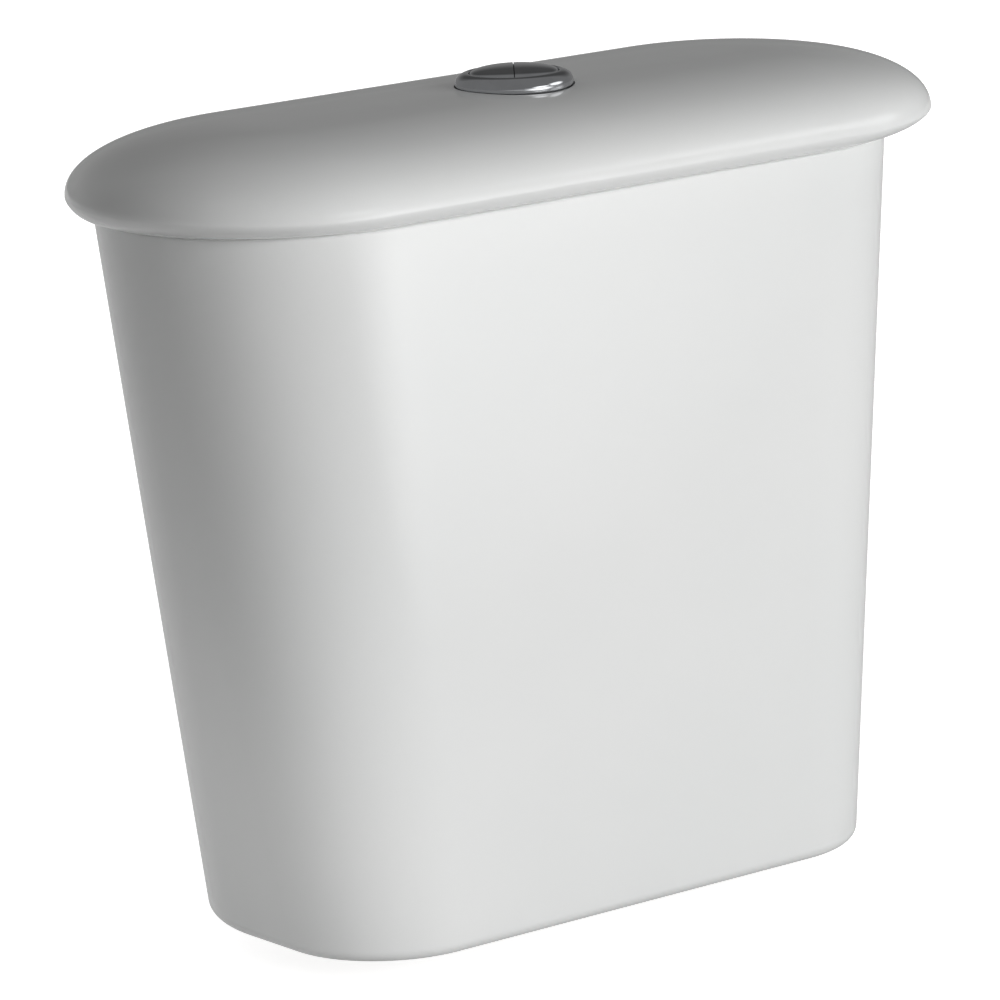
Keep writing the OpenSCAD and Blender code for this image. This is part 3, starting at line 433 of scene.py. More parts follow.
def sealRubber(name, look):
    finish, tree, shader = newMaterial(name)
    coords = objectCoords(tree)
    bloom = noise(tree, coords, look["bloomScale"], 5.0)
    tree.links.new(mixColour(tree, remap(tree, bloom, 0.0, 1.0), look["dark"], look["bloom"]),
                   shader.inputs["Base Color"])
    tree.links.new(remap(tree, bloom, *look["roughness"]), shader.inputs["Roughness"])
    grain = noise(tree, coords, look["grainScale"], 2.0)
    tree.links.new(bump(tree, grain, look["grainDepth"], look["grainStrength"]), shader.inputs["Normal"])
    return finish


steelLook = {
    "light": (0.50, 0.50, 0.51), "dark": (0.38, 0.385, 0.40), "roughness": (0.18, 0.34),
    "streakScale": 900.0, "streakDepth": 0.00002, "streakStrength": 0.4,
}


def drawnSteel(name, look):
    finish, tree, shader = newMaterial(name)
    streak = noise(tree, objectCoords(tree), look["streakScale"], 3.0)
    tree.links.new(mixColour(tree, remap(tree, streak, 0.0, 1.0), look["light"], look["dark"]),
                   shader.inputs["Base Color"])
    tree.links.new(remap(tree, streak, *look["roughness"]), shader.inputs["Roughness"])
    shader.inputs["Metallic"].default_value = 1.0
    tree.links.new(bump(tree, streak, look["streakDepth"], look["streakStrength"]), shader.inputs["Normal"])
    return finish


finishes = {
    "glaze": glazedCeramic("glazedCeramic", glazeLook),
    "plating": platedChrome("platedChrome", chromeLook),
    "white_plastic": mouldedPlastic("whitePlastic", plasticLooks["whitePlastic"], mouldLook),
    "blue_plastic": mouldedPlastic("bluePlastic", plasticLooks["bluePlastic"], mouldLook),
    "padSilicone": mouldedPlastic("padSilicone", plasticLooks["padSilicone"], mouldLook),
    "seal_rubber": sealRubber("sealRubber", rubberLook),
    "stainless": drawnSteel("drawnSteel", steelLook),
}
print("stage: finishes ready")


# Mesh helpers

smoothLimit = 38.0
turnSegments = 144
weldGap = 1e-7
roundSteps = 9
quarter = np.linspace(0.0, math.pi / 2, roundSteps)


def addPiece(name, mesh, finish, smoothAngle=smoothLimit):
    mesh.materials.clear()
    mesh.materials.append(finish)
    mesh.shade_smooth()
    mesh.set_sharp_from_angle(angle=math.radians(smoothAngle))
    piece = bpy.data.objects.new(name, mesh)
    collection.objects.link(piece)
    return piece


def settle(piece, body, slot, *nodes):
    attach(piece, body)
    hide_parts(*nodes)


def loftMesh(name, rings):
    count = len(rings[0])
    last = len(rings) - 1
    faces = [list(range(count))[::-1]]
    for j in range(last):
        for i in range(count):
            k = (i + 1) % count
            faces.append((j * count + i, j * count + k, (j + 1) * count + k, (j + 1) * count + i))
    faces.append([last * count + i for i in range(count)])
    mesh = bpy.data.meshes.new(name)
    mesh.from_pydata((np.concatenate(rings) * mm).tolist(), [], faces)
    return mesh


def latheMesh(name, profile, segments=turnSegments, centre=(0.0, 0.0)):
    shape = bmesh.new()
    columns = []
    for i in range(segments):
        a = 2 * math.pi * i / segments
        x, y = math.cos(a), math.sin(a)
        columns.append([shape.verts.new(((centre[0] + r * x) * mm, (centre[1] + r * y) * mm, z * mm))
                        for r, z in profile])
    for i in range(segments):
        a, b = columns[i], columns[(i + 1) % segments]
        for j in range(len(profile)):
            k = (j + 1) % len(profile)
            shape.faces.new((a[j], b[j], b[k], a[k]))
    bmesh.ops.remove_doubles(shape, verts=shape.verts, dist=weldGap)
    bmesh.ops.dissolve_degenerate(shape, edges=shape.edges, dist=weldGap)
    bmesh.ops.recalc_face_normals(shape, faces=shape.faces)
    mesh = bpy.data.meshes.new(name)
    shape.to_mesh(mesh)
    shape.free()
    return mesh


def booleanMesh(mesh, cutters, operation="DIFFERENCE"):
    target = bpy.data.objects.new("cutTarget", mesh)
    collection.objects.link(target)
    helpers = []
    for cutter in cutters:
        helper = bpy.data.objects.new("cutter", cutter)
        collection.objects.link(helper)
        modifier = target.modifiers.new("cut", "BOOLEAN")
        modifier.operation = operation
        modifier.solver = "EXACT"
        modifier.object = helper
        helpers.append(helper)
    ready = target.evaluated_get(bpy.context.evaluated_depsgraph_get())
    result = bpy.data.meshes.new_from_object(ready)
    for helper in [target, *helpers]:
        bpy.data.objects.remove(helper)
    return result


def bevelSharp(mesh, width, segments=2, angle=35.0):
    shape = bmesh.new()
    shape.from_mesh(mesh)
    limit = math.radians(angle)
    sharp = [e for e in shape.edges if len(e.link_faces) == 2 and e.calc_face_angle(0.0) > limit]
    bmesh.ops.bevel(shape, geom=sharp, offset=width * mm, segments=segments, profile=0.5,
                    affect="EDGES", clamp_overlap=True)
    shape.to_mesh(mesh)
    shape.free()
    return mesh


# Ceramic: plans are half width, front, back, front corner radius and back corner radius, in millimetres

bodyLow, bodyHigh = (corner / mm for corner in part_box("cistern_body"))
lidLow, lidHigh = (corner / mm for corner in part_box("cistern_lid"))
tank = {
    "frontCorner": 77.0, "footWidth": 283.0, "footDepth": 159.0, "footCorner": 49.0, "footBackCorner": 77.0,
    "wall": 9.0, "floor": 12.0, "recess": 12.0, "recessRound": 4.0, "footRing": 9.0, "ringRound": 2.0,
    "footRound": 5.5, "floorRound": 14.0, "rimRound": 1.5, "innerRimRound": 2.0,
    "outletRadius": 33.0, "inletRadius": 13.0, "inletPlace": (-100.0, 30.0),
    "boltRadius": 5.5, "boltSpacing": 150.0, "cutReach": 1.0, "holeSegments": 72,
    "cornerSteps": 40, "flatSteps": 40, "wallSteps": 20,
}
lid = {
    "frontCorner": 78.0, "crownCorner": 2.0, "padGap": 0.5, "rimHeight": 9.0, "frontDrop": 0.26,
    "noseShape": 1.5, "crown": 26.4, "power": 2.12, "thickness": 9.0,
    "lipSide": 3.2, "lipFront": 1.2, "lipBack": 1.5, "lipRound": 1.2,
    "ribHeight": 8.0, "ribThickness": 6.0, "ribGap": 3.0, "ribRound": 1.5,
    "roofInset": 26.0, "hollowRound": 5.0,
    "holeRadius": 22.4, "spotRadius": 24.6, "spotDepth": 2.4, "nutSeatRadius": 33.0,
    "cutBelow": 20.0, "cutAbove": 5.0, "roofSteps": 24, "noseSteps": 21, "domeSteps": 44,
}
bareClay = {"rise": 0.3, "margin": 1.0, "floorDrop": 0.5}
sideFlat = 1.0
backY = bodyHigh.y
height = bodyHigh.z
rimDepth = backY - bodyLow.y
rimBackCorner = rimDepth - tank["frontCorner"] - sideFlat
rimPlan = np.array([bodyHigh.x, bodyLow.y, backY, tank["frontCorner"], rimBackCorner])
footPlan = np.array([tank["footWidth"] / 2, backY - tank["footDepth"], backY, tank["footCorner"],
                     tank["footBackCorner"]])
lidDepth = lidHigh.y - lidLow.y
lidBackCorner = lidDepth - lid["frontCorner"] - sideFlat
lidPlan = np.array([lidHigh.x, lidLow.y, lidHigh.y, lid["frontCorner"], lidBackCorner])
lipCorner = tank["frontCorner"] + lid["lipFront"]
lipDepth = rimDepth + lid["lipFront"] - lid["lipBack"]
lipBackCorner = lipDepth - lipCorner - sideFlat
lipPlan = np.array([rimPlan[0] + lid["lipSide"], rimPlan[1] - lid["lipFront"], backY - lid["lipBack"],
                    lipCorner, lipBackCorner])


def inset(plan, d):
    return plan + np.array([-d, d, -d, -d, -d])


def mixPlan(first, second, t):
    return first + (second - first) * t


def bodyPlan(z):
    return mixPlan(footPlan, rimPlan, z / height)


def planRing(plan, z):
    halfWidth, front, back, frontRadius, backRadius = plan
    sweep = np.linspace(0.0, math.pi / 2, tank["cornerSteps"])

    def arc(x, y, radius, start):
        return np.stack([x + radius * np.cos(sweep + start), y + radius * np.sin(sweep + start)], 1)

    def flat(start, end):
        return start + (end - start) * np.linspace(0.0, 1.0, tank["flatSteps"] + 2)[1:-1, None]

    rightFront = arc(halfWidth - frontRadius, front + frontRadius, frontRadius, -math.pi / 2)
    rightBack = arc(halfWidth - backRadius, back - backRadius, backRadius, 0.0)
    leftBack = arc(backRadius - halfWidth, back - backRadius, backRadius, math.pi / 2)
    leftFront = arc(frontRadius - halfWidth, front + frontRadius, frontRadius, math.pi)
    plan2d = np.concatenate([rightFront, rightBack, flat(rightBack[-1], leftBack[0]), leftBack, leftFront,
                             flat(leftFront[-1], rightFront[0])])
    return np.column_stack([plan2d, np.broadcast_to(z, len(plan2d))])


def roundHole(x, y, radius, low, high):
    profile = [(0.0, low), (radius, low), (radius, high), (0.0, high)]
    return latheMesh("roundHole", profile, tank["holeSegments"], (x, y))


def paintBareClay(mesh, isBare):
    places = np.empty(len(mesh.vertices) * 3)
    mesh.vertices.foreach_get("co", places)
    values = isBare(places.reshape(-1, 3) / mm).astype(np.float32)
    layer = mesh.attributes.new("bareClay", "FLOAT", "POINT")
    layer.data.foreach_set("value", values)


def inPlan(points, plan):
    halfWidth, front, back, frontRadius, backRadius = plan
    across, deep = np.abs(points[:, 0]), points[:, 1]
    inside = (across < halfWidth) & (deep > front) & (deep < back)
    corners = ((frontRadius, front + frontRadius, -1), (backRadius, back - backRadius, 1))
    for radius, centre, beyond in corners:
        inCorner = (across > halfWidth - radius) & ((deep - centre) * beyond > 0)
        inside &= ~inCorner | (np.hypot(across - halfWidth + radius, deep - centre) < radius)
    return inside


def makeTank():
    floorTop = tank["recess"] + tank["floor"]
    under = inset(footPlan, tank["footRound"] + tank["footRing"])
    recessRound, ringRound = tank["recessRound"], tank["ringRound"]
    rings = []
    for t in quarter:  # roof of the hollow under the floor, rounded into its wall
        z = tank["recess"] - recessRound * (1 - math.cos(t))
        rings.append(planRing(inset(under, recessRound * (1 - math.sin(t))), z))
    for t in quarter:  # inner edge of the foot ring
        z = ringRound * (1 - math.sin(t))
        rings.append(planRing(inset(under, -ringRound * (1 - math.cos(t))), z))
    for t in quarter:  # outer edge of the foot
        z = tank["footRound"] * (1 - math.cos(t))
        rings.append(planRing(inset(bodyPlan(z), tank["footRound"] * (1 - math.sin(t))), z))
    for z in np.linspace(tank["footRound"], height - tank["rimRound"], tank["wallSteps"])[1:-1]:
        rings.append(planRing(bodyPlan(z), z))
    for t in quarter:  # outer edge of the rim
        z = height - tank["rimRound"] * (1 - math.sin(t))
        rings.append(planRing(inset(bodyPlan(z), tank["rimRound"] * (1 - math.cos(t))), z))
    for t in quarter:  # inner edge of the rim
        z = height - tank["innerRimRound"] * (1 - math.cos(t))
        d = tank["wall"] - tank["innerRimRound"] * (1 - math.sin(t))
        rings.append(planRing(inset(bodyPlan(z), d), z))
    wallHigh, wallLow = height - tank["innerRimRound"], floorTop + tank["floorRound"]
    for z in np.linspace(wallHigh, wallLow, tank["wallSteps"])[1:-1]:
        rings.append(planRing(inset(bodyPlan(z), tank["wall"]), z))
    for t in quarter[::-1]:  # wall into floor
        z = floorTop + tank["floorRound"] * (1 - math.cos(t))
        d = tank["wall"] + tank["floorRound"] * (1 - math.sin(t))
        rings.append(planRing(inset(bodyPlan(z), d), z))
    low, high = tank["recess"] - tank["cutReach"], floorTop + tank["cutReach"]
    holes = [roundHole(0, 0, tank["outletRadius"], low, high),
             roundHole(*tank["inletPlace"], tank["inletRadius"], low, high)]
    for side in (-1, 1):
        holes.append(roundHole(side * tank["boltSpacing"] / 2, 0, tank["boltRadius"], low, high))
    mesh = booleanMesh(loftMesh("cisternTank", rings), holes)
    hollow = inset(under, -bareClay["margin"])

    def isBare(p):
        inHollow = (p[:, 2] < floorTop - bareClay["floorDrop"]) & inPlan(p, hollow)
        return (p[:, 2] < bareClay["rise"]) | inHollow

    paintBareClay(mesh, isBare)
    piece = addPiece("cisternTank", mesh, finishes["glaze"])
    settle(piece, "root", "glaze", "cistern_body")


def domeRise(s):
    return (1 - (1 - s) ** lid["power"]) ** (1 / lid["power"])


# How far each point of the rim faces the front, from 0 to 1
def facingFront(plan):
    ring = planRing(plan, 0.0)
    along = np.roll(ring, -1, 0) - np.roll(ring, 1, 0)
    turned = along[:, 0] / np.hypot(along[:, 0], along[:, 1])
    return np.clip(turned, 0.0, 1.0) ** 2


def makeLid():
    lidZ = height + lid["padGap"]
    widestZ = lidZ + lid["rimHeight"]
    crownZ = widestZ + lid["crown"]
    rimRise = lid["rimHeight"] * (1 - lid["frontDrop"] * facingFront(lidPlan))
    noseZ = lidZ + rimRise
    domeInset = lid["frontCorner"] - lid["crownCorner"]
    ribPlan = inset(rimPlan, tank["wall"] + lid["ribGap"])
    hollowPlan = inset(ribPlan, lid["ribThickness"])
    hollowInset = min(hollowPlan[3], hollowPlan[4]) - lid["crownCorner"]
    ribRound, hollowRound, lipRound = lid["ribRound"], lid["hollowRound"], lid["lipRound"]
    ribLow = lidZ - lid["ribHeight"]

    def roofZ(d):
        share = (lid["roofInset"] + (domeInset - lid["roofInset"]) * d / hollowInset) / domeInset
        return widestZ + lid["crown"] * domeRise(share) - lid["thickness"]

    rings = []
    for d in np.linspace(hollowInset, hollowRound, lid["roofSteps"]):  # roof of the hollow
        rings.append(planRing(inset(hollowPlan, d), roofZ(d)))
    for t in quarter[1:]:  # roof into the rib's inner wall
        rings.append(planRing(inset(hollowPlan, hollowRound * (1 - math.sin(t))),
                              roofZ(hollowRound) - hollowRound * (1 - math.cos(t))))
    for t in quarter:  # foot of the rib, inner edge
        plan = inset(hollowPlan, -ribRound * (1 - math.cos(t)))
        rings.append(planRing(plan, ribLow + ribRound * (1 - math.sin(t))))
    for t in quarter:  # foot of the rib, outer edge
        plan = inset(ribPlan, ribRound * (1 - math.sin(t)))
        rings.append(planRing(plan, ribLow + ribRound * (1 - math.cos(t))))
    for t in quarter:  # rib into the underside of the lip
        plan = inset(ribPlan, -lipRound * (1 - math.cos(t)))
        rings.append(planRing(plan, lidZ - lipRound * (1 - math.sin(t))))
    for t in np.linspace(0.0, math.pi / 2, lid["noseSteps"]):  # bullnose, lower along the front
        out = math.sin(t) ** (2 / lid["noseShape"])
        up = 1 - max(math.cos(t), 0.0) ** (2 / lid["noseShape"])
        rings.append(planRing(mixPlan(lipPlan, lidPlan, out), lidZ + rimRise * up))
    for t in np.linspace(0.0, math.pi / 2, lid["domeSteps"])[1:]:  # dome
        s = 1 - math.cos(t)
        rings.append(planRing(inset(lidPlan, domeInset * s), noseZ + (crownZ - noseZ) * domeRise(s)))
    lowZ, highZ = lidZ - lid["cutBelow"], crownZ + lid["cutAbove"]
    seatZ, spotZ = crownZ - lid["thickness"], crownZ - lid["spotDepth"]
    seat, bore, spot = lid["nutSeatRadius"], lid["holeRadius"], lid["spotRadius"]
    hole = latheMesh("buttonHole", [(0.0, lowZ), (seat, lowZ), (seat, seatZ), (bore, seatZ), (bore, spotZ),
                                    (spot, spotZ), (spot, highZ), (0.0, highZ)])
    mesh = booleanMesh(loftMesh("cisternLid", rings), [hole])
    lipInside = inset(lipPlan, bareClay["margin"])
    paintBareClay(mesh, lambda p: (p[:, 2] < lidZ + bareClay["rise"]) & inPlan(p, lipInside))
    piece = addPiece("cisternLid", mesh, finishes["glaze"])
    settle(piece, "lid", "glaze", "cistern_lid")


makeTank()
makeLid()
print("stage: ceramic ready")


# Plated button: bezel ring and the two halves of the domed cap

bezelLow, bezelHigh = (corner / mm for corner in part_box("button_bezel"))
fullLow, fullHigh = (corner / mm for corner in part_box("full_button"))
halfLow, halfHigh = (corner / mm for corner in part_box("half_button"))
button = {
    "nose": 2.6, "tuck": 0.8, "rise": 7.0, "slopeSteps": 24,
    "bore": 18.4, "pocket": 21.85, "pocketDepth": 4.0, "innerRound": 0.5,
    "radius": 18.1, "dome": 3.2, "skirt": 2.0, "roof": 4.0, "domeSteps": 28, "capSegments": 160,
    "edgeRound": 0.16, "edgeSegments": 3, "splitTurn": -37.0, "splitGap": 0.36,
}


def makeBezel():
    z = bezelLow.z
    outer = bezelHigh.x
    top = button["bore"] + button["innerRound"]
    profile = [(button["pocket"], z), (button["pocket"], z + button["pocketDepth"]),
               (button["bore"], z + button["pocketDepth"])]
    for t in quarter:  # rounded inner edge
        profile.append((top - button["innerRound"] * math.cos(t),
                        z + button["rise"] - button["innerRound"] * (1 - math.sin(t))))
    for t in np.linspace(0.0, math.pi / 2, button["slopeSteps"])[1:]:  # domed slope out to the nose
        profile.append((top + (outer - top) * math.sin(t),
                        z + button["nose"] + (button["rise"] - button["nose"]) * math.cos(t)))
    for t in quarter[1:]:  # tucked in under the nose
        profile.append((outer - button["tuck"] * (1 - math.cos(t)), z + button["nose"] * (1 - math.sin(t))))
    piece = addPiece("buttonBezel", latheMesh("buttonBezel", profile), finishes["plating"])
    settle(piece, "lid", "plating", "button_bezel")


def makeButtonHalf(name, body, node, low, high, side):
    radius = button["radius"]
    skirtZ = low.z
    topZ = high.z
    edgeZ = topZ - button["dome"]
    roofZ = bezelLow.z + button["roof"]
    inner = radius - button["skirt"]
    profile = [(0.0, roofZ), (inner, roofZ), (inner, skirtZ), (radius, skirtZ)]
    for t in np.linspace(0.0, math.pi / 2, button["domeSteps"]):
        profile.append((radius * math.cos(t), edgeZ + button["dome"] * math.sin(t)))
    cap = latheMesh(name, profile, button["capSegments"])
    cut = bpy.data.meshes.new("halfBlock")
    shape = bmesh.new()
    bmesh.ops.create_cube(shape, size=1.0)
    span = 4 * radius
    away = Matrix.Translation((side * (span + button["splitGap"]) / 2 * mm, 0, topZ * mm))
    turn = Matrix.Rotation(math.radians(button["splitTurn"]), 4, "Z")
    bmesh.ops.transform(shape, matrix=turn @ away @ Matrix.Scale(span * mm, 4), verts=shape.verts)
    shape.to_mesh(cut)
    shape.free()
    mesh = booleanMesh(cap, [cut], "INTERSECT")
    bevelSharp(mesh, button["edgeRound"], button["edgeSegments"])
    settle(addPiece(name, mesh, finishes["plating"]), body, "plating", node)


makeBezel()
makeButtonHalf("fullButton", "full_button", "full_button", fullLow, fullHigh, 1)
makeButtonHalf("halfButton", "half_button", "half_button", halfLow, halfHigh, -1)
print("stage: button ready")


# Geometry Nodes: a wire wound into a spring, and the ridge of a screw thread

def newTree(name, sizes):
    tree = bpy.data.node_groups.new(name, "GeometryNodeTree")
    tree.interface.new_socket("Geometry", in_out="OUTPUT", socket_type="NodeSocketGeometry")
    for label in sizes:
        tree.interface.new_socket(label, in_out="INPUT", socket_type="NodeSocketFloat")
    tree.interface.new_socket("Steps", in_out="INPUT", socket_type="NodeSocketInt")
    tree.interface.new_socket("Sides", in_out="INPUT", socket_type="NodeSocketInt")
    tree.interface.new_socket("Place", in_out="INPUT", socket_type="NodeSocketVector")
    tree.interface.new_socket("Finish", in_out="INPUT", socket_type="NodeSocketMaterial")
    return tree, tree.nodes.new("NodeGroupInput").outputs


def treeMath(tree, operation, first, second):
    node = tree.nodes.new("ShaderNodeMath")
    node.operation = operation
    for socket, value in zip(node.inputs, (first, second)):
        if isinstance(value, bpy.types.NodeSocket):
            tree.links.new(value, socket)
        else:
            socket.default_value = value
    return node.outputs[0]


def helix(tree, inputs, rise):
    spiral = tree.nodes.new("GeometryNodeCurveSpiral")
    tree.links.new(inputs["Steps"], spiral.inputs["Resolution"])
    tree.links.new(inputs["Turns"], spiral.inputs["Rotations"])
    tree.links.new(inputs["Radius"], spiral.inputs["Start Radius"])
    tree.links.new(inputs["Radius"], spiral.inputs["End Radius"])
    tree.links.new(rise, spiral.inputs["Height"])
    return spiral.outputs["Curve"]


def sweepAlong(tree, inputs, curve, radius):
    normal = tree.nodes.new("GeometryNodeSetCurveNormal")
    normal.mode = "Z_UP"
    tree.links.new(curve, normal.inputs["Curve"])
    circle = tree.nodes.new("GeometryNodeCurvePrimitiveCircle")
    tree.links.new(inputs["Sides"], circle.inputs["Resolution"])
    tree.links.new(radius, circle.inputs["Radius"])
    tube = tree.nodes.new("GeometryNodeCurveToMesh")
    tube.inputs["Fill Caps"].default_value = True
    tree.links.new(normal.outputs["Curve"], tube.inputs["Curve"])
    tree.links.new(circle.outputs["Curve"], tube.inputs["Profile Curve"])
    shift = tree.nodes.new("GeometryNodeTransform")
    tree.links.new(tube.outputs["Mesh"], shift.inputs["Geometry"])
    tree.links.new(inputs["Place"], shift.inputs["Translation"])
    realize = tree.nodes.new("GeometryNodeRealizeInstances")
    tree.links.new(shift.outputs["Geometry"], realize.inputs["Geometry"])
    paint = tree.nodes.new("GeometryNodeSetMaterial")
    tree.links.new(realize.outputs["Geometry"], paint.inputs["Geometry"])
    tree.links.new(inputs["Finish"], paint.inputs["Material"])
    out = tree.nodes.new("NodeGroupOutput")
    tree.links.new(paint.outputs["Geometry"], out.inputs["Geometry"])


# Spring: the first and last turns lie closed, one wire thickness apart
def springTree():
    tree, inputs = newTree("woundSpring", ("Turns", "Radius", "Height", "Wire"))
    along = tree.nodes.new("GeometryNodeSplineParameter").outputs["Factor"]
    endShare = treeMath(tree, "DIVIDE", 1.0, inputs["Turns"])
    lastShare = treeMath(tree, "SUBTRACT", 1.0, endShare)
    openRise = treeMath(tree, "SUBTRACT", inputs["Height"], treeMath(tree, "MULTIPLY", inputs["Wire"], 3.0))
    level = treeMath(tree, "MULTIPLY", inputs["Wire"], 0.5)
    for low, high, rise in ((0.0, endShare, inputs["Wire"]), (endShare, lastShare, openRise),
                            (lastShare, 1.0, inputs["Wire"])):
        part = tree.nodes.new("ShaderNodeMapRange")
        part.inputs["To Min"].default_value = 0.0
        tree.links.new(along, part.inputs["Value"])
        for label, value in (("From Min", low), ("From Max", high), ("To Max", rise)):
            if isinstance(value, bpy.types.NodeSocket):
                tree.links.new(value, part.inputs[label])
            else:
                part.inputs[label].default_value = value
        level = treeMath(tree, "ADD", level, part.outputs["Result"])
    here = tree.nodes.new("ShaderNodeSeparateXYZ")
    tree.links.new(tree.nodes.new("GeometryNodeInputPosition").outputs["Position"], here.inputs["Vector"])
    there = tree.nodes.new("ShaderNodeCombineXYZ")
    tree.links.new(here.outputs["X"], there.inputs["X"])
    tree.links.new(here.outputs["Y"], there.inputs["Y"])
    tree.links.new(level, there.inputs["Z"])
    move = tree.nodes.new("GeometryNodeSetPosition")
    tree.links.new(helix(tree, inputs, inputs["Height"]), move.inputs["Geometry"])
    tree.links.new(there.outputs["Vector"], move.inputs["Position"])
    sweepAlong(tree, inputs, move.outputs["Geometry"], treeMath(tree, "MULTIPLY", inputs["Wire"], 0.5))
    return tree


def threadTree():
    tree, inputs = newTree("screwThread", ("Turns", "Radius", "Height", "Ridge"))
    sweepAlong(tree, inputs, helix(tree, inputs, inputs["Height"]), inputs["Ridge"])
    return tree


def treeMesh(name, tree, values):
    holder = bpy.data.objects.new(name + "Maker", bpy.data.meshes.new(name + "Maker"))
    collection.objects.link(holder)
    modifier = holder.modifiers.new("maker", "NODES")
    modifier.node_group = tree
    idOf = {item.name: item.identifier for item in tree.interface.items_tree if item.in_out == "INPUT"}
    for label, value in values.items():
        modifier[idOf[label]] = value
    ready = holder.evaluated_get(bpy.context.evaluated_depsgraph_get())
    mesh = bpy.data.meshes.new_from_object(ready)
    mesh.name = name
    holder.modifiers.remove(modifier)
    bpy.data.objects.remove(holder)
    shape = bmesh.new()
    shape.from_mesh(mesh)
    bmesh.ops.recalc_face_normals(shape, faces=shape.faces)
    shape.to_mesh(mesh)
    shape.free()
    return mesh


springLook = {"wire": 0.8, "turns": 8.0, "steps": 30, "sides": 12, "stroke": 5.0, "smoothAngle": 60.0}
woundSpring = springTree()


def makeSpring(name, node):
    low, high = (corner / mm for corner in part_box(node))
    middle = (low + high) / 2
    tall = high.z - low.z
    radius = (high.x - low.x - springLook["wire"]) / 2
    mesh = treeMesh(name, woundSpring, {
        "Turns": springLook["turns"], "Radius": radius * mm, "Height": tall * mm,
        "Wire": springLook["wire"] * mm, "Steps": springLook["steps"], "Sides": springLook["sides"],
        "Place": (middle.x * mm, middle.y * mm, low.z * mm), "Finish": finishes["stainless"]})
    piece = addPiece(name, mesh, finishes["stainless"], springLook["smoothAngle"])
    settle(piece, "lid", "stainless", node)
    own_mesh(piece)


makeSpring("fullSpring", "full_spring")
makeSpring("halfSpring", "half_spring")
print("stage: springs wound")


# Inner works: each solid's own form, with its edges broken as a mould leaves them

bodyOf = {node: body for body, nodes in frame["record"]["behaviour"]["bodies"].items() for node in nodes}
slotOf = {row["node"]: row["material_slot"] for row in frame["record"]["subparts"]}
inner = {
    "edge": 0.35, "fineEdge": 0.18, "segments": 2, "weldGap": 2e-6, "flatAngle": 0.6,
    "fine": ["inlet_filter", "lever_pin", "float_lever_pin", "float_rod", "full_lock_nut", "half_lock_nut",
             "full_push_rod", "half_push_rod", "diaphragm", "bezel_seal", "inlet_gasket", "lid_pads"],
    "ownFinish": {"lid_pads": "padSilicone"}, "ownName": {"diaphragm": "diaphragmDisc"},
}


def pieceName(node):
    words = node.split("_")
    return inner["ownName"].get(node, words[0] + "".join(word.capitalize() for word in words[1:]))


def brokenEdges(node, edge):
    shape = bmesh.new()
    shape.from_mesh(frame["nodes"][node].data)
    bmesh.ops.remove_doubles(shape, verts=shape.verts, dist=inner["weldGap"])
    flat = math.radians(inner["flatAngle"])
    bmesh.ops.dissolve_limit(shape, angle_limit=flat, verts=shape.verts, edges=shape.edges)
    mesh = bpy.data.meshes.new(pieceName(node))
    shape.to_mesh(mesh)
    shape.free()
    return bevelSharp(mesh, edge, inner["segments"])


def weightedNormals(piece):
    modifier = piece.modifiers.new("weights", "WEIGHTED_NORMAL")
    modifier.keep_sharp = True
    ready = piece.evaluated_get(bpy.context.evaluated_depsgraph_get())
    mesh = bpy.data.meshes.new_from_object(ready)
    piece.modifiers.remove(modifier)
    piece.data = mesh


# Basket of the flush valve: a tube with two grip bands, round-headed ports and slots, and lugs at its foot
basket = {
    "radius": 35.5, "wall": 2.5, "topPlate": 4.0, "tubeHole": 15.4, "edgeRound": 0.6,
    "band": 1.2, "bandHeight": 4.0, "bandRound": 0.8, "lowBandRise": 55.0, "highBandDrop": 14.0,
    "openings": 6, "portWidth": 22.0, "portHeight": 26.0, "portRise": 9.0, "archSteps": 25,
    "slotWidth": 9.0, "slotRise": 67.0, "slotDrop": 24.0,
    "lugs": 3, "lugWidth": 12.0, "lugHeight": 5.0, "lugReach": 3.0, "lugOverlap": 1.0,
}


def prismMesh(name, outline, near, far, turn):
    shape = bmesh.new()
    ends = [[shape.verts.new((x * mm, y * mm, z * mm)) for y, z in outline] for x in (near, far)]
    for end in ends:
        shape.faces.new(end)
    for i in range(len(outline)):
        k = (i + 1) % len(outline)
        shape.faces.new((ends[0][i], ends[0][k], ends[1][k], ends[1][i]))
    bmesh.ops.recalc_face_normals(shape, faces=shape.faces)
    bmesh.ops.transform(shape, matrix=Matrix.Rotation(math.radians(turn), 4, "Z"), verts=shape.verts)
    mesh = bpy.data.meshes.new(name)
    shape.to_mesh(mesh)
    shape.free()
    return mesh


def archOutline(width, low, spring):
    half = width / 2
    sweep = np.linspace(0.0, math.pi, basket["archSteps"])
    return [(-half, low), (half, low), *((half * math.cos(t), spring + half * math.sin(t)) for t in sweep)]


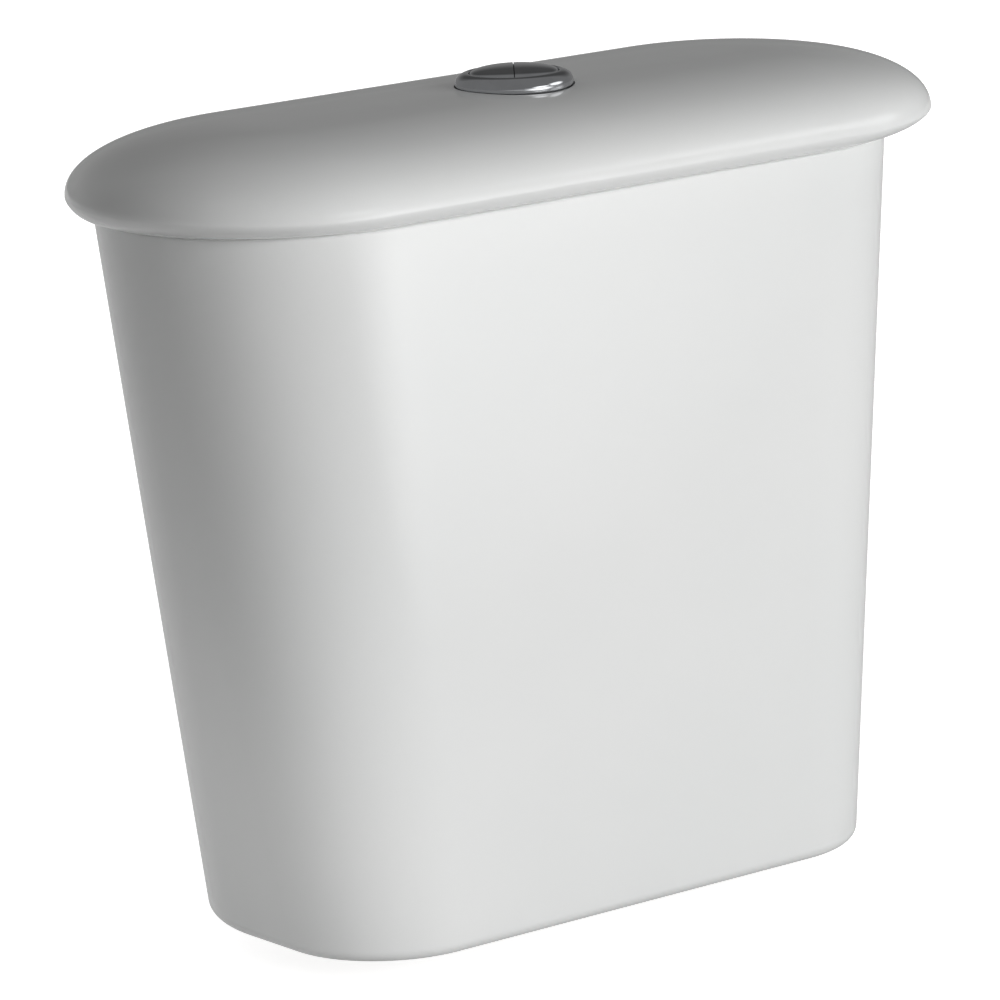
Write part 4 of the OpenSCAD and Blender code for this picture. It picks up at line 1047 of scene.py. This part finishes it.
def makeBasket():
    low, high = (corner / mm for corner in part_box("valve_basket"))
    radius, edge = basket["radius"], basket["edgeRound"]
    plateZ = high.z - basket["topPlate"]
    inside, hole = radius - basket["wall"], basket["tubeHole"]
    profile = [(inside, low.z), (inside, plateZ), (hole, plateZ), (hole, high.z)]
    for t in quarter:  # rounded shoulder
        profile.append((radius - edge * (1 - math.sin(t)), high.z - edge * (1 - math.cos(t))))
    proud, bandRound = radius + basket["band"], basket["bandRound"]
    for bandZ in (high.z - basket["highBandDrop"], low.z + basket["lowBandRise"]):
        bandTop = bandZ + basket["bandHeight"]
        profile.append((radius, bandTop))
        for t in quarter[::2]:
            profile.append((proud - bandRound * (1 - math.sin(t)), bandTop - bandRound * (1 - math.cos(t))))
        for t in quarter[::2]:
            profile.append((proud - bandRound * (1 - math.cos(t)), bandZ + bandRound * (1 - math.sin(t))))
        profile.append((radius, bandZ))
    profile.append((radius, low.z))
    openings, lugs = [], []
    portTop = basket["portRise"] + basket["portHeight"]
    slotTop = high.z - basket["slotDrop"] - low.z
    arches = ((basket["portWidth"], basket["portRise"], portTop),
              (basket["slotWidth"], basket["slotRise"], slotTop))
    for i in range(basket["openings"]):
        turn = 360 * (i + 0.5) / basket["openings"]
        for width, rise, spring in arches:
            outline = archOutline(width, low.z + rise, low.z + spring)
            openings.append(prismMesh("opening", outline, radius / 2, radius * 1.5, turn))
    half, lugTop = basket["lugWidth"] / 2, low.z + basket["lugHeight"]
    lugOutline = [(-half, low.z), (half, low.z), (half, lugTop), (-half, lugTop)]
    near, far = radius - basket["lugOverlap"], radius + basket["lugReach"]
    for i in range(basket["lugs"]):
        lugs.append(prismMesh("lug", lugOutline, near, far, 360 * i / basket["lugs"]))
    mesh = booleanMesh(latheMesh("valveBasket", profile), openings)
    mesh = booleanMesh(mesh, lugs, "UNION")
    mesh.name = "valveBasket"
    piece = addPiece("valveBasket", mesh, finishes[slotOf["valve_basket"]])
    weightedNormals(piece)
    settle(piece, bodyOf["valve_basket"], slotOf["valve_basket"], "valve_basket")


makeBasket()

for node, solid in frame["nodes"].items():
    if solid.hide_render:
        continue
    slot = slotOf[node]
    mesh = brokenEdges(node, inner["fineEdge"] if node in inner["fine"] else inner["edge"])
    piece = addPiece(pieceName(node), mesh, finishes[inner["ownFinish"].get(node, slot)])
    weightedNormals(piece)
    settle(piece, bodyOf[node], slot, node)
print("stage: inner works ready")


# Screw threads on the tails and rods, over a span of heights or all along a rod apart from its ends

threads = [
    {"name": "outletThread", "node": "valve_base", "radius": 29.8, "span": (-6.6, 1.2),
     "pitch": 2.6, "ridge": 0.5},
    {"name": "inletThread", "node": "inlet_shank", "radius": 10.48, "span": (-10.0, 2.2),
     "pitch": 1.814, "ridge": 0.42},
    {"name": "housingThread", "node": "button_housing", "radius": 21.8, "span": (313.6, 331.0),
     "pitch": 1.9, "ridge": 0.3},
    {"name": "fullRodThread", "node": "full_push_rod", "radius": 2.0, "span": (264.0, 299.0),
     "pitch": 1.0, "ridge": 0.26},
    {"name": "halfRodThread", "node": "half_push_rod", "radius": 2.0, "span": (264.0, 299.0),
     "pitch": 1.0, "ridge": 0.26},
    {"name": "floatRodThread", "node": "float_rod", "radius": 1.6, "ends": (3.0, 12.0),
     "pitch": 1.0, "ridge": 0.22},
]
threadSteps = 40
threadSides = 4
screwThread = threadTree()


def makeThread(look):
    low, high = (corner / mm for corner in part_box(look["node"]))
    middle = (low + high) / 2
    if "span" in look:
        start, stop = look["span"]
    else:
        start, stop = low.z + look["ends"][0], high.z - look["ends"][1]
    mesh = treeMesh(look["name"], screwThread, {
        "Turns": (stop - start) / look["pitch"], "Radius": look["radius"] * mm, "Height": (stop - start) * mm,
        "Ridge": look["ridge"] * mm, "Steps": threadSteps, "Sides": threadSides,
        "Place": (middle.x * mm, middle.y * mm, start * mm), "Finish": finishes[slotOf[look["node"]]]})
    piece = addPiece(look["name"], mesh, finishes[slotOf[look["node"]]])
    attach(piece, bodyOf[look["node"]])


for threadLook in threads:
    makeThread(threadLook)
print("stage: threads cut")
